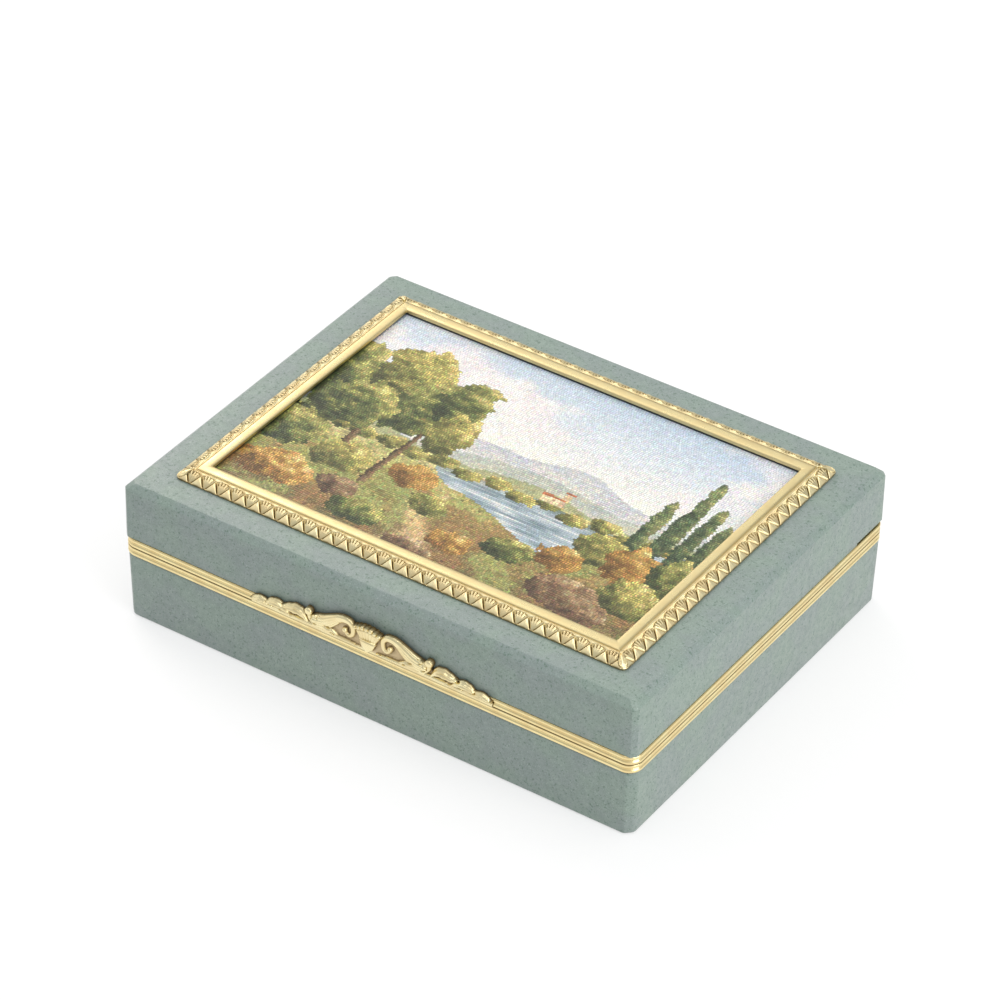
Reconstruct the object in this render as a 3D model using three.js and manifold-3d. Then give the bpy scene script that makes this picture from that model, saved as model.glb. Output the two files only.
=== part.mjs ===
// A hardstone snuff box: a hollowed stone base and lid in reeded gold rims, hinged along the back,
// with a framed micro mosaic panel let into the lid and a cast thumbpiece on the lid's front.
// Millimetres, +Z up, +X to the right, the front at -Y.
// The origin is at the middle of the face that the base rests on.

import * as THREE from 'three';
import { mergeVertices } from 'three/addons/utils/BufferGeometryUtils.js';
import Module from 'manifold-3d';

const wasm = await Module();
wasm.setup();

// Stone base and lid
const BOX_WIDTH = 90;
const BOX_DEPTH = 69;
const BASE_STONE_HEIGHT = 11.6;
const LID_STONE_HEIGHT = 9.6;
const WALL = 3.2;
const BASE_FLOOR = 3;
const LID_WEB = 2.2;
const BASE_CORNER_CHAMFER = 1.1;
const LID_CORNER_CHAMFER = 0.7;
const LID_TOP_BEVEL = 1;
const LID_LOWER_BEVEL = 0.2;
const BASE_FOOT_BEVEL = 0.3;
const BASE_TAPER = 0.25;
const WELL_CORNER_RADIUS = 3;
const CORNER_RELIEF_HEIGHT = 0.4;
const CORNER_RELIEF_DEPTH = 8;

// Gold rims, and the lip that locates the lid
const RIM_HEIGHT = 1.5;
const RIM_PROUD = 0.22;
const RIM_CORNER_RADIUS = 2;
const RIM_WEB = 0.35;
const LIP_HEIGHT = 1.2;
const LIP_THICKNESS = 0.6;
const LIP_LEDGE = 0.2;
const LIP_CLEARANCE = 0.3;
const REED_EDGE = 0.5;
const REED_HOLLOW = 0.25;
const REED_RIDGE = [0.11, 0.22];
const REED_HOLLOW_EDGE = 0.36;

// Hinge along the back
const HINGE_END_MARGIN = 7;
const KNUCKLE_COUNT = 9;
const KNUCKLE_GAP = 0.15;
const KNUCKLE_PROUD = 0.13;
const KNUCKLE_FOOT_WIDTH = 1.5;
const HINGE_CLEARANCE = 0.05;
const HINGE_BACK_CLEARANCE = 0.35;
const PIN_RADIUS = 0.45;
const PIN_CLEARANCE = 0.15;
const PIN_CAP_LENGTH = 0.7;
const PIN_CAP_CLEARANCE = 0.1;

// Mosaic panel and its frame
const FRAME_MARGIN_SIDE = 5.5;
const FRAME_MARGIN_FRONT = 5.4;
const LEAF_BORDER_WIDTH = 2.3;
const LEAF_PITCH = 2.8;
const LEAF_OUTER_HEIGHT = 0.3;
const LEAF_RELIEF = 0.16;
const LEAF_HALF_FOOT = 0.44;
const LEAF_HALF_TIP = 0.1;
const MITRE_GAP = 0.1;
const LEAF_CORNER_RADIUS = 1;
const FILLET_WIDTH = 1.65;
const FILLET_THICKNESS = 0.6;
const FILLET_STEP = 0.12;
const FILLET_COVER = 1;
const FILLET_CLEARANCE = 0.4;
const FRAME_PLATE = 0.25;
const PLATE_CORNER_CHAMFER = 0.6;
const FRAME_CORNER_CHAMFER = 0.1;
const TESSERA_HEIGHT = 0.9;
const MASTIC_THICKNESS = 1;
const MOSAIC_RISE = 0.5;
const TRAY_THICKNESS = 0.4;
const TRAY_CLEARANCE = 0.3;
const PANEL_CLEARANCE = 0.15;
const STUD_RADIUS = 0.6;
const STUD_CLEARANCE = 0.3;
const NUT_RADIUS = 1.5;
const NUT_THICKNESS = 0.8;
const NUT_CLEARANCE = 0.15;

// Thumbpiece
const THUMB_WIDTH = 42.6;
const THUMB_HEIGHT = 5.5;
const THUMB_PLATE = 0.5;
const THUMB_STRIP_HEIGHT = 0.8;
const THUMB_STRIP_DEPTH = 0.75;
const THUMB_GAP = 0.05;
const SHELL_RIBS = 7;
const SHELL_SPREAD = 100;
const SHELL_RIB_WIDTH = 0.94;
const SHELL_DEPTH = 1.6;
const SHELL_ROOT = 0.32;
const SHELL_REACH = 0.3;
const SHELL_HALF_RIB = 0.36;
const SCROLL_TUBE_RADIUS = 0.5;
const SCROLL_RISE = 0.25;
const SCROLL_TURN = 1.5 * Math.PI;
const SCROLL_CENTRE = [0.172, 0.66];
const SCROLL_EYE = 0.09;
const SCROLL_GROWTH = 0.12;
const SCROLL_ARM = [[0.25, 0.86], [0.32, 0.72], [0.37, 0.6], [0.415, 0.53]];
const KNOB_RADIUS = 0.75;
const KNOB_DEPTH = 1.6;
const KNOB_PLACES = [[0, 0.3], [0.488, 0.65], [-0.488, 0.65]];
const LEAF_TILT = 0.2;
const THUMB_LEAF_PLACES = [[0.6, 0.4], [0.755, 0.33], [0.9, 0.26]];
const THUMB_LEAF_HALF_LENGTH = [2, 1.9, 1.7];
const THUMB_LEAF_HALF_HEIGHT = [0.85, 0.72, 0.55];
const THUMB_LEAF_DEPTH = [1.45, 1.3, 1.1];
const THUMB_CREST = [[0.06, 0.97], [0.115, 0.82], [0.17, 0.93], [0.25, 0.94], [0.32, 0.8], [0.42, 0.6],
  [0.445, 0.5], [0.488, 0.76], [0.53, 0.48], [0.6, 0.6], [0.69, 0.42], [0.765, 0.5], [0.84, 0.34],
  [0.915, 0.4], [0.975, 0.24], [0.995, 0.16]];

// Numbers of facets
const CORNER_STEPS = 5;
const LEAF_CORNER_STEPS = 2;
const WELL_CORNER_STEPS = 5;
const KNUCKLE_SIDES = 20;
const BORE_SIDES = 16;
const STUD_SIDES = 14;
const CUT_MARGIN = 1;

// Heights and places that follow from the sizes above
const JOINT_Z = BASE_STONE_HEIGHT + RIM_HEIGHT;
const LID_STONE_Z = JOINT_Z + RIM_HEIGHT;
const LID_TOP_Z = LID_STONE_Z + LID_STONE_HEIGHT;
const HALF_WIDTH = BOX_WIDTH / 2;
const HALF_DEPTH = BOX_DEPTH / 2;
const LIP_INSET = WALL - LIP_THICKNESS - LIP_LEDGE;

const CHANNEL_HALF_HEIGHT = RIM_HEIGHT - RIM_WEB;
const KNUCKLE_RADIUS = CHANNEL_HALF_HEIGHT - HINGE_CLEARANCE;
const AXIS_INSET = KNUCKLE_RADIUS - KNUCKLE_PROUD;
const AXIS_Y = HALF_DEPTH + RIM_PROUD - AXIS_INSET;
const CHANNEL_BACK_Y = AXIS_Y - KNUCKLE_RADIUS - HINGE_BACK_CLEARANCE;
const HINGE_LENGTH = BOX_WIDTH - 2 * HINGE_END_MARGIN;
const BORE_RADIUS = PIN_RADIUS + PIN_CLEARANCE;

const FRAME_HALF_X = HALF_WIDTH - FRAME_MARGIN_SIDE;
const FRAME_HALF_Y = HALF_DEPTH - FRAME_MARGIN_FRONT;
const OPENING_INSET = LEAF_BORDER_WIDTH + FILLET_WIDTH;
const TRAY_INSET = OPENING_INSET - FILLET_COVER;
const POCKET_INSET = TRAY_INSET - TRAY_CLEARANCE;
const POCKET_DEPTH = TRAY_THICKNESS + MASTIC_THICKNESS + TESSERA_HEIGHT - MOSAIC_RISE;
const MOSAIC_Z = LID_TOP_Z + MOSAIC_RISE;
const FILLET_UNDER_Z = MOSAIC_Z + FILLET_CLEARANCE;
const FRAME_TOP_Z = FILLET_UNDER_Z + FILLET_THICKNESS;
const PLATE_TOP_Z = LID_TOP_Z + FRAME_PLATE;
const LID_CEILING_Z = LID_TOP_Z - POCKET_DEPTH - LID_WEB;
const STUD_X = FRAME_HALF_X - LEAF_BORDER_WIDTH / 2;
const STUD_Y = FRAME_HALF_Y - LEAF_BORDER_WIDTH / 2;
const THUMB_BACK_Y = -HALF_DEPTH - RIM_PROUD;

// Finishes
const material = (color, roughness, metalness) =>
  new THREE.MeshStandardMaterial({ color, roughness, metalness });
const stoneFinish = () => material(0x94a69c, 0.42, 0);
const goldFinish = () => material(0xdcc08a, 0.3, 1);
const copperFinish = () => material(0xa8714f, 0.45, 1);
const masticFinish = () => material(0xcbb891, 0.9, 0);
const glassFinish = () => material(0xaab6a0, 0.35, 0);

// Turns a closed geometry into a solid that can be joined and cut.
function solid(geometry) {
  const bare = geometry.clone();
  bare.deleteAttribute('normal');
  bare.deleteAttribute('uv');
  const merged = mergeVertices(bare, 1e-5);
  return new wasm.Manifold(new wasm.Mesh({
    numProp: 3,
    vertProperties: new Float32Array(merged.attributes.position.array),
    triVerts: new Uint32Array(merged.index.array),
  }));
}

// Turns a solid back into a geometry.
function geometryOf(body) {
  const mesh = body.getMesh();
  const geometry = new THREE.BufferGeometry();
  geometry.setAttribute('position', new THREE.BufferAttribute(new Float32Array(mesh.vertProperties), 3));
  geometry.setIndex(new THREE.BufferAttribute(new Uint32Array(mesh.triVerts), 1));
  geometry.computeVertexNormals();
  return geometry;
}

function boxBetween(low, high) {
  const size = high.map((value, i) => value - low[i]);
  const geometry = new THREE.BoxGeometry(...size);
  geometry.translate(...low.map((value, i) => value + size[i] / 2));
  return geometry;
}

// A cylinder along X between two places.
function rodAlongX(radius, fromX, toX, y, z, sides) {
  const geometry = new THREE.CylinderGeometry(radius, radius, toX - fromX, sides);
  geometry.rotateZ(Math.PI / 2);
  geometry.translate((fromX + toX) / 2, y, z);
  return geometry;
}

// A cylinder along Z between two heights.
function rodAlongZ(radius, x, y, fromZ, toZ, sides) {
  const geometry = new THREE.CylinderGeometry(radius, radius, toZ - fromZ, sides);
  geometry.rotateX(Math.PI / 2);
  geometry.translate(x, y, (fromZ + toZ) / 2);
  return geometry;
}

// The points of a rounded rectangle, anticlockwise. One step makes each corner a flat chamfer.
function roundedRectangle(halfX, halfY, radius, steps) {
  const points = [];
  const corners = [[1, 1], [-1, 1], [-1, -1], [1, -1]];
  corners.forEach(([signX, signY], quarter) => {
    for (let step = 0; step <= steps; step += 1) {
      const angle = (quarter + step / steps) * Math.PI / 2;
      points.push([
        signX * (halfX - radius) + radius * Math.cos(angle),
        signY * (halfY - radius) + radius * Math.sin(angle),
      ]);
    }
  });
  return points;
}

// A skin over a stack of rounded rectangles, each { x, y, radius, z } with its half sizes.
// The stack is capped at both ends, or closes on itself as a frame's section does.
function loft(levels, steps, closesOnItself) {
  const rings = levels.map((level) => roundedRectangle(level.x, level.y, level.radius, steps));
  const count = rings[0].length;
  const positions = rings.flatMap((ring, i) => ring.flatMap(([x, y]) => [x, y, levels[i].z]));
  const triangles = [];
  const bands = closesOnItself ? rings.length : rings.length - 1;
  for (let i = 0; i < bands; i += 1) {
    const lower = i * count;
    const upper = ((i + 1) % rings.length) * count;
    for (let j = 0; j < count; j += 1) {
      const next = (j + 1) % count;
      triangles.push(lower + j, lower + next, upper + next);
      triangles.push(lower + j, upper + next, upper + j);
    }
  }
  if (!closesOnItself) {
    const top = (rings.length - 1) * count;
    for (let j = 1; j < count - 1; j += 1) {
      triangles.push(0, j + 1, j);
      triangles.push(top, top + j, top + j + 1);
    }
  }
  const geometry = new THREE.BufferGeometry();
  geometry.setAttribute('position', new THREE.Float32BufferAttribute(positions, 3));
  geometry.setIndex(triangles);
  return geometry;
}

// A ring round the given rectangle. Each corner of its section is a distance outside the rectangle,
// a height, and the radius that the ring turns its corners with there.
function sectionRing(halfX, halfY, section, steps) {
  const levels = section.map(([out, z, radius]) => ({ x: halfX + out, y: halfY + out, radius, z }));
  return loft(levels, steps, true);
}

function insetBox(halfX, halfY, inset, fromZ, toZ) {
  return boxBetween([inset - halfX, inset - halfY, fromZ], [halfX - inset, halfY - inset, toZ]);
}

const box = new THREE.Group();

function add(name, geometry, finish) {
  const mesh = new THREE.Mesh(geometry, finish());
  mesh.name = name;
  box.add(mesh);
}

// The stone base: slightly tapered, hollowed from above
function baseStone() {
  const footBevel = BASE_TAPER + BASE_FOOT_BEVEL;
  const outer = loft([
    { x: HALF_WIDTH - footBevel, y: HALF_DEPTH - footBevel, radius: BASE_CORNER_CHAMFER, z: 0 },
    { x: HALF_WIDTH - BASE_TAPER, y: HALF_DEPTH - BASE_TAPER, radius: BASE_CORNER_CHAMFER, z: BASE_FOOT_BEVEL },
    { x: HALF_WIDTH, y: HALF_DEPTH, radius: BASE_CORNER_CHAMFER, z: BASE_STONE_HEIGHT },
  ], 1, false);
  return solid(outer).subtract(well(BASE_FLOOR, BASE_STONE_HEIGHT + CUT_MARGIN));
}

// The hollow inside the walls, between two heights
function well(fromZ, toZ) {
  const level = (z) => ({
    x: HALF_WIDTH - WALL,
    y: HALF_DEPTH - WALL,
    radius: WELL_CORNER_RADIUS,
    z,
  });
  return solid(loft([level(fromZ), level(toZ)], WELL_CORNER_STEPS, false));
}

// The four places of the studs that hold the mosaic's frame
function studPlaces() {
  return [[-1, -1], [1, -1], [-1, 1], [1, 1]].map(([signX, signY]) => [signX * STUD_X, signY * STUD_Y]);
}

// The stone lid: bevelled on top, hollowed from below, with a pocket for the mosaic's tray
function lidStone() {
  const level = (inset, z) => ({
    x: HALF_WIDTH - inset,
    y: HALF_DEPTH - inset,
    radius: LID_CORNER_CHAMFER,
    z,
  });
  const outer = loft([
    level(LID_LOWER_BEVEL, LID_STONE_Z),
    level(0, LID_STONE_Z + LID_LOWER_BEVEL),
    level(0, LID_TOP_Z - LID_TOP_BEVEL),
    level(LID_TOP_BEVEL, LID_TOP_Z),
  ], 1, false);
  let body = solid(outer).subtract(well(LID_STONE_Z - CUT_MARGIN, LID_CEILING_Z));
  const pocketFloor = LID_TOP_Z - POCKET_DEPTH;
  const aboveTop = LID_TOP_Z + CUT_MARGIN;
  const pocket = insetBox(FRAME_HALF_X, FRAME_HALF_Y, POCKET_INSET, pocketFloor, aboveTop);
  body = body.subtract(solid(pocket));
  studPlaces().forEach(([x, y]) => {
    const hole = rodAlongZ(
      STUD_RADIUS + STUD_CLEARANCE, x, y, LID_CEILING_Z - CUT_MARGIN, LID_TOP_Z + CUT_MARGIN, STUD_SIDES,
    );
    body = body.subtract(solid(hole));
  });
  return body.subtract(cornerRelief(-1)).subtract(cornerRelief(1));
}

// A shallow relief under the lid stone's back corner, clear of the rim's soldered corner
function cornerRelief(side) {
  const innerX = side * (HALF_WIDTH - WALL - CUT_MARGIN);
  const outerX = side * (HALF_WIDTH + CUT_MARGIN);
  return solid(boxBetween(
    [Math.min(innerX, outerX), HALF_DEPTH - CORNER_RELIEF_DEPTH, LID_STONE_Z - CUT_MARGIN],
    [Math.max(innerX, outerX), HALF_DEPTH + CUT_MARGIN, LID_STONE_Z + CORNER_RELIEF_HEIGHT],
  ));
}

// The outer face of a rim between two heights: a ridge, a shallow hollow and a second ridge
function reededFace(fromZ) {
  const half = [
    [RIM_PROUD * REED_EDGE, 0],
    ...REED_RIDGE.map((share) => [RIM_PROUD, share]),
    [RIM_PROUD * REED_HOLLOW, REED_HOLLOW_EDGE],
  ];
  const shares = [...half, ...half.map(([out, share]) => [out, 1 - share]).reverse()];
  return shares.map(([out, share]) => [out, fromZ + share * RIM_HEIGHT, RIM_CORNER_RADIUS + out]);
}

// A point of a rim's inner side, which turns its corners concentric with the well
function innerPoint(inset, z) {
  return [-inset, z, WELL_CORNER_RADIUS + WALL - inset];
}

// What the hinge takes out of both rims: a channel for the knuckles, and beyond its ends
// a notch that widens behind the axis, so that the rims' corners clear each other
function hingeRoom() {
  const half = HINGE_LENGTH / 2 + KNUCKLE_GAP;
  const channel = solid(boxBetween(
    [-half, CHANNEL_BACK_Y, JOINT_Z - CHANNEL_HALF_HEIGHT],
    [half, HALF_DEPTH + CUT_MARGIN, JOINT_Z + CHANNEL_HALF_HEIGHT],
  ));
  const reach = AXIS_INSET + CUT_MARGIN;
  const rise = reach * CHANNEL_HALF_HEIGHT / AXIS_INSET;
  const notch = new THREE.Shape([
    new THREE.Vector2(0, 0),
    new THREE.Vector2(reach, -rise),
    new THREE.Vector2(reach, rise),
  ]);
  const geometry = new THREE.ExtrudeGeometry(notch, {
    depth: BOX_WIDTH + 2 * CUT_MARGIN,
    bevelEnabled: false,
  });
  geometry.rotateX(Math.PI / 2);
  geometry.rotateZ(Math.PI / 2);
  geometry.translate(-HALF_WIDTH - CUT_MARGIN, AXIS_Y, JOINT_Z);
  return channel.add(solid(geometry));
}

// The base's gold rim, with the lip that enters the lid
function baseRim() {
  const lipTop = JOINT_Z + LIP_HEIGHT;
  const ease = LIP_LEDGE;
  const section = [
    ...reededFace(BASE_STONE_HEIGHT),
    innerPoint(LIP_INSET, JOINT_Z),
    innerPoint(LIP_INSET, lipTop - ease),
    innerPoint(LIP_INSET + ease, lipTop),
    innerPoint(LIP_INSET + LIP_THICKNESS, lipTop),
    innerPoint(LIP_INSET + LIP_THICKNESS, JOINT_Z),
    innerPoint(WALL, JOINT_Z),
    innerPoint(WALL, BASE_STONE_HEIGHT),
  ];
  const ring = sectionRing(HALF_WIDTH, HALF_DEPTH, section, CORNER_STEPS);
  return solid(ring).subtract(hingeRoom());
}

// The lid's gold rim, which passes over the lip
function lidRim() {
  const inset = LIP_INSET - LIP_CLEARANCE;
  const section = [...reededFace(JOINT_Z), innerPoint(inset, LID_STONE_Z), innerPoint(inset, JOINT_Z)];
  const ring = sectionRing(HALF_WIDTH, HALF_DEPTH, section, CORNER_STEPS);
  return solid(ring).subtract(hingeRoom());
}

// One tube of the hinge, with the foot that seats it on its rim
function knuckle(place, onBase) {
  const length = (HINGE_LENGTH - (KNUCKLE_COUNT - 1) * KNUCKLE_GAP) / KNUCKLE_COUNT;
  const fromX = -HINGE_LENGTH / 2 + place * (length + KNUCKLE_GAP);
  const toX = fromX + length;
  const tube = solid(rodAlongX(KNUCKLE_RADIUS, fromX, toX, AXIS_Y, JOINT_Z, KNUCKLE_SIDES));
  const footZ = onBase
    ? [JOINT_Z - CHANNEL_HALF_HEIGHT, JOINT_Z]
    : [JOINT_Z, JOINT_Z + CHANNEL_HALF_HEIGHT];
  const foot = solid(boxBetween(
    [fromX, AXIS_Y - KNUCKLE_FOOT_WIDTH / 2, footZ[0]],
    [toX, AXIS_Y + KNUCKLE_FOOT_WIDTH / 2, footZ[1]],
  ));
  const bore = rodAlongX(BORE_RADIUS, fromX - CUT_MARGIN, toX + CUT_MARGIN, AXIS_Y, JOINT_Z, BORE_SIDES);
  return tube.add(foot).subtract(solid(bore));
}

// The pin, and the short plugs that close the end knuckles
function addPin() {
  const half = HINGE_LENGTH / 2;
  const pinHalf = half - PIN_CAP_LENGTH - KNUCKLE_GAP;
  add('hinge_pin', rodAlongX(PIN_RADIUS, -pinHalf, pinHalf, AXIS_Y, JOINT_Z, BORE_SIDES), goldFinish);
  const capRadius = BORE_RADIUS - PIN_CAP_CLEARANCE;
  const inner = half - PIN_CAP_LENGTH;
  add('pin_cap_left', rodAlongX(capRadius, -half, -inner, AXIS_Y, JOINT_Z, BORE_SIDES), goldFinish);
  add('pin_cap_right', rodAlongX(capRadius, inner, half, AXIS_Y, JOINT_Z, BORE_SIDES), goldFinish);
}

// A strip of leaf border lying along X, its outer edge on Y = 0 and its foot on Z = 0.
// Smooth leaves stand on the outer edge and taper inwards between grooves; palmettes fill in between.
function leafStrip(length) {
  const motifs = Math.round(length / LEAF_PITCH);
  const pitch = length / motifs;
  const innerHeight = FRAME_TOP_Z - FILLET_STEP - PLATE_TOP_Z;
  const rows = [0, 0.5, 1];
  const columns = [];
  for (let motif = 0; motif < motifs; motif += 1) {
    for (let part = 0; part < 4; part += 1) {
      columns.push([motif - motifs / 2, part]);
    }
  }
  columns.push([motifs / 2, 0]);
  const positions = [];
  const place = ([motif, part], share) => {
    const leafHalf = LEAF_HALF_FOOT + (LEAF_HALF_TIP - LEAF_HALF_FOOT) * share;
    const across = [0, leafHalf, 0.5, 1 - leafHalf][part];
    return (motif + across) * pitch;
  };
  const height = (part, share) => {
    const slope = LEAF_OUTER_HEIGHT + (innerHeight - LEAF_OUTER_HEIGHT) * share;
    return part % 2 ? slope - LEAF_RELIEF : slope;
  };
  rows.forEach((share) => columns.forEach((column) => {
    positions.push(place(column, share), share * LEAF_BORDER_WIDTH, height(column[1], share));
  }));
  rows.forEach((share) => columns.forEach((column) => {
    positions.push(place(column, share), share * LEAF_BORDER_WIDTH, 0);
  }));
  const across = columns.length;
  const under = rows.length * across;
  const triangles = [];
  const quad = (a, b, c, d) => triangles.push(a, b, c, a, c, d);
  for (let row = 0; row < rows.length - 1; row += 1) {
    for (let column = 0; column < across - 1; column += 1) {
      const corner = row * across + column;
      quad(corner, corner + 1, corner + across + 1, corner + across);
      quad(under + corner, under + corner + across, under + corner + across + 1, under + corner + 1);
    }
    const left = row * across;
    const right = left + across - 1;
    quad(left, left + across, under + left + across, under + left);
    quad(right, under + right, under + right + across, right + across);
  }
  const last = (rows.length - 1) * across;
  for (let column = 0; column < across - 1; column += 1) {
    quad(column, under + column, under + column + 1, column + 1);
    quad(last + column, last + column + 1, under + last + column + 1, under + last + column);
  }
  const geometry = new THREE.BufferGeometry();
  geometry.setAttribute('position', new THREE.Float32BufferAttribute(positions, 3));
  geometry.setIndex(triangles);
  const cutter = new THREE.ExtrudeGeometry(mitredOutline(length / 2 - MITRE_GAP), {
    depth: 2 * CUT_MARGIN + innerHeight,
    bevelEnabled: false,
  });
  cutter.translate(0, 0, -CUT_MARGIN);
  return geometryOf(solid(geometry).intersect(solid(cutter)));
}

// The outline of a strip of leaf border: mitred ends, and its half of each rounded outer corner
function mitredOutline(half) {
  const right = [];
  for (let step = 0; step <= LEAF_CORNER_STEPS; step += 1) {
    const angle = (step / LEAF_CORNER_STEPS) * Math.PI / 4;
    right.push(new THREE.Vector2(
      half - LEAF_CORNER_RADIUS * (1 - Math.sin(angle)),
      LEAF_CORNER_RADIUS * (1 - Math.cos(angle)),
    ));
  }
  right.push(new THREE.Vector2(half - LEAF_BORDER_WIDTH, LEAF_BORDER_WIDTH));
  const left = right.map((point) => new THREE.Vector2(-point.x, point.y)).reverse();
  return new THREE.Shape([...right, ...left]);
}

function addLeafBorder() {
  const sides = [
    ['border_front', 2 * FRAME_HALF_X, FRAME_HALF_Y, 0],
    ['border_right', 2 * FRAME_HALF_Y, FRAME_HALF_X, 1],
    ['border_back', 2 * FRAME_HALF_X, FRAME_HALF_Y, 2],
    ['border_left', 2 * FRAME_HALF_Y, FRAME_HALF_X, 3],
  ];
  sides.forEach(([name, length, reach, quarter]) => {
    const geometry = leafStrip(length);
    geometry.translate(0, -reach, PLATE_TOP_Z);
    geometry.rotateZ(quarter * Math.PI / 2);
    add(name, geometry, goldFinish);
  });
}

// The frame's plate and plain fillet, with four studs that pass through the lid
function mosaicBezel() {
  const footInner = POCKET_INSET - MITRE_GAP;
  const inside = [
    [-LEAF_BORDER_WIDTH, PLATE_TOP_Z],
    [-LEAF_BORDER_WIDTH, FRAME_TOP_Z - FILLET_STEP],
    [-LEAF_BORDER_WIDTH - FILLET_STEP, FRAME_TOP_Z],
    [MITRE_GAP - OPENING_INSET, FRAME_TOP_Z],
    [-OPENING_INSET, FRAME_TOP_Z - MITRE_GAP],
    [-OPENING_INSET, FILLET_UNDER_Z],
    [-footInner, FILLET_UNDER_Z],
    [-footInner, LID_TOP_Z],
  ];
  const section = [
    ...inside.map(([out, z]) => [out, z, FRAME_CORNER_CHAMFER]),
    [-MITRE_GAP, LID_TOP_Z, PLATE_CORNER_CHAMFER],
    [-MITRE_GAP, PLATE_TOP_Z, PLATE_CORNER_CHAMFER],
  ];
  let body = solid(sectionRing(FRAME_HALF_X, FRAME_HALF_Y, section, 1));
  studPlaces().forEach(([x, y]) => {
    const overlap = FRAME_PLATE / 2;
    const stud = rodAlongZ(STUD_RADIUS, x, y, LID_CEILING_Z - NUT_THICKNESS, LID_TOP_Z + overlap, STUD_SIDES);
    body = body.add(solid(stud));
  });
  return body;
}

// The copper tray, the mastic in it and the tesserae on the mastic
function addPanel() {
  const trayZ = LID_TOP_Z - POCKET_DEPTH;
  const masticZ = trayZ + TRAY_THICKNESS;
  const tesseraZ = masticZ + MASTIC_THICKNESS;
  const wall = PANEL_CLEARANCE * 2;
  const tray = solid(insetBox(FRAME_HALF_X, FRAME_HALF_Y, TRAY_INSET, trayZ, MOSAIC_Z));
  const hollow = insetBox(FRAME_HALF_X, FRAME_HALF_Y, TRAY_INSET + wall, masticZ, MOSAIC_Z + CUT_MARGIN);
  add('mosaic_tray', geometryOf(tray.subtract(solid(hollow))), copperFinish);
  const panelInset = TRAY_INSET + wall + PANEL_CLEARANCE;
  add('mastic_bed', insetBox(FRAME_HALF_X, FRAME_HALF_Y, panelInset, masticZ, tesseraZ), masticFinish);
  add('mosaic_tesserae', insetBox(FRAME_HALF_X, FRAME_HALF_Y, panelInset, tesseraZ, MOSAIC_Z), glassFinish);
}

// The round nuts inside the lid
function addNuts() {
  studPlaces().forEach(([x, y], i) => {
    const fromZ = LID_CEILING_Z - NUT_THICKNESS;
    const nut = solid(rodAlongZ(NUT_RADIUS, x, y, fromZ, LID_CEILING_Z, STUD_SIDES));
    const boreRadius = STUD_RADIUS + NUT_CLEARANCE;
    const toZ = LID_CEILING_Z + CUT_MARGIN;
    const bore = rodAlongZ(boreRadius, x, y, fromZ - CUT_MARGIN, toZ, STUD_SIDES);
    add(`frame_nut_${i + 1}`, geometryOf(nut.subtract(solid(bore))), goldFinish);
  });
}

// The thumbpiece is laid out in its own plane: X across and up from the joint line,
// in shares of its half width and height, and it is turned to face the front at the end.
function upright(geometry) {
  geometry.rotateX(Math.PI / 2);
  geometry.translate(0, THUMB_BACK_Y, JOINT_Z);
  return geometry;
}

// The outline of the plate: over a shell at the middle, then a scroll, a knob and three leaves each side
function thumbOutline() {
  const right = THUMB_CREST.map(
    ([across, up]) => new THREE.Vector2(across * THUMB_WIDTH / 2, up * THUMB_HEIGHT),
  );
  const left = right.map((point) => new THREE.Vector2(-point.x, point.y)).reverse();
  const crest = [...left, ...right];
  const shape = new THREE.Shape();
  shape.moveTo(crest[0].x, THUMB_GAP);
  shape.lineTo(crest[0].x, crest[0].y);
  shape.splineThru(crest.slice(1));
  shape.lineTo(crest.at(-1).x, THUMB_GAP);
  return shape;
}

// An ellipsoid lying on the plate, turned in its plane
function lobe(x, y, halfLength, halfWidth, depth, angle) {
  const geometry = new THREE.SphereGeometry(1, 8, 6);
  geometry.scale(halfLength, halfWidth, depth);
  geometry.rotateZ(angle);
  geometry.translate(x, y, 0);
  return solid(upright(geometry));
}

// The scroll beside the shell: a volute that runs over the top and down to the knob
function scroll(side) {
  const half = THUMB_WIDTH / 2;
  const centre = [SCROLL_CENTRE[0] * half, SCROLL_CENTRE[1] * THUMB_HEIGHT];
  const route = [];
  const points = 10;
  for (let i = 0; i <= points; i += 1) {
    const share = i / points;
    const angle = -share * SCROLL_TURN;
    const radius = (SCROLL_EYE + SCROLL_GROWTH * share) * THUMB_HEIGHT;
    route.push([centre[0] + radius * Math.cos(angle), centre[1] + radius * Math.sin(angle)]);
  }
  route.push(...SCROLL_ARM.map(([across, up]) => [across * half, up * THUMB_HEIGHT]));
  const path = new THREE.CatmullRomCurve3(
    route.map(([x, y]) => new THREE.Vector3(side * x, y, THUMB_PLATE + SCROLL_RISE)),
  );
  const section = new THREE.Shape(
    new THREE.EllipseCurve(0, 0, SCROLL_TUBE_RADIUS, SCROLL_TUBE_RADIUS).getPoints(6).slice(1),
  );
  const tube = new THREE.ExtrudeGeometry(section, { steps: 28, bevelEnabled: false, extrudePath: path });
  return solid(upright(tube));
}

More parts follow.
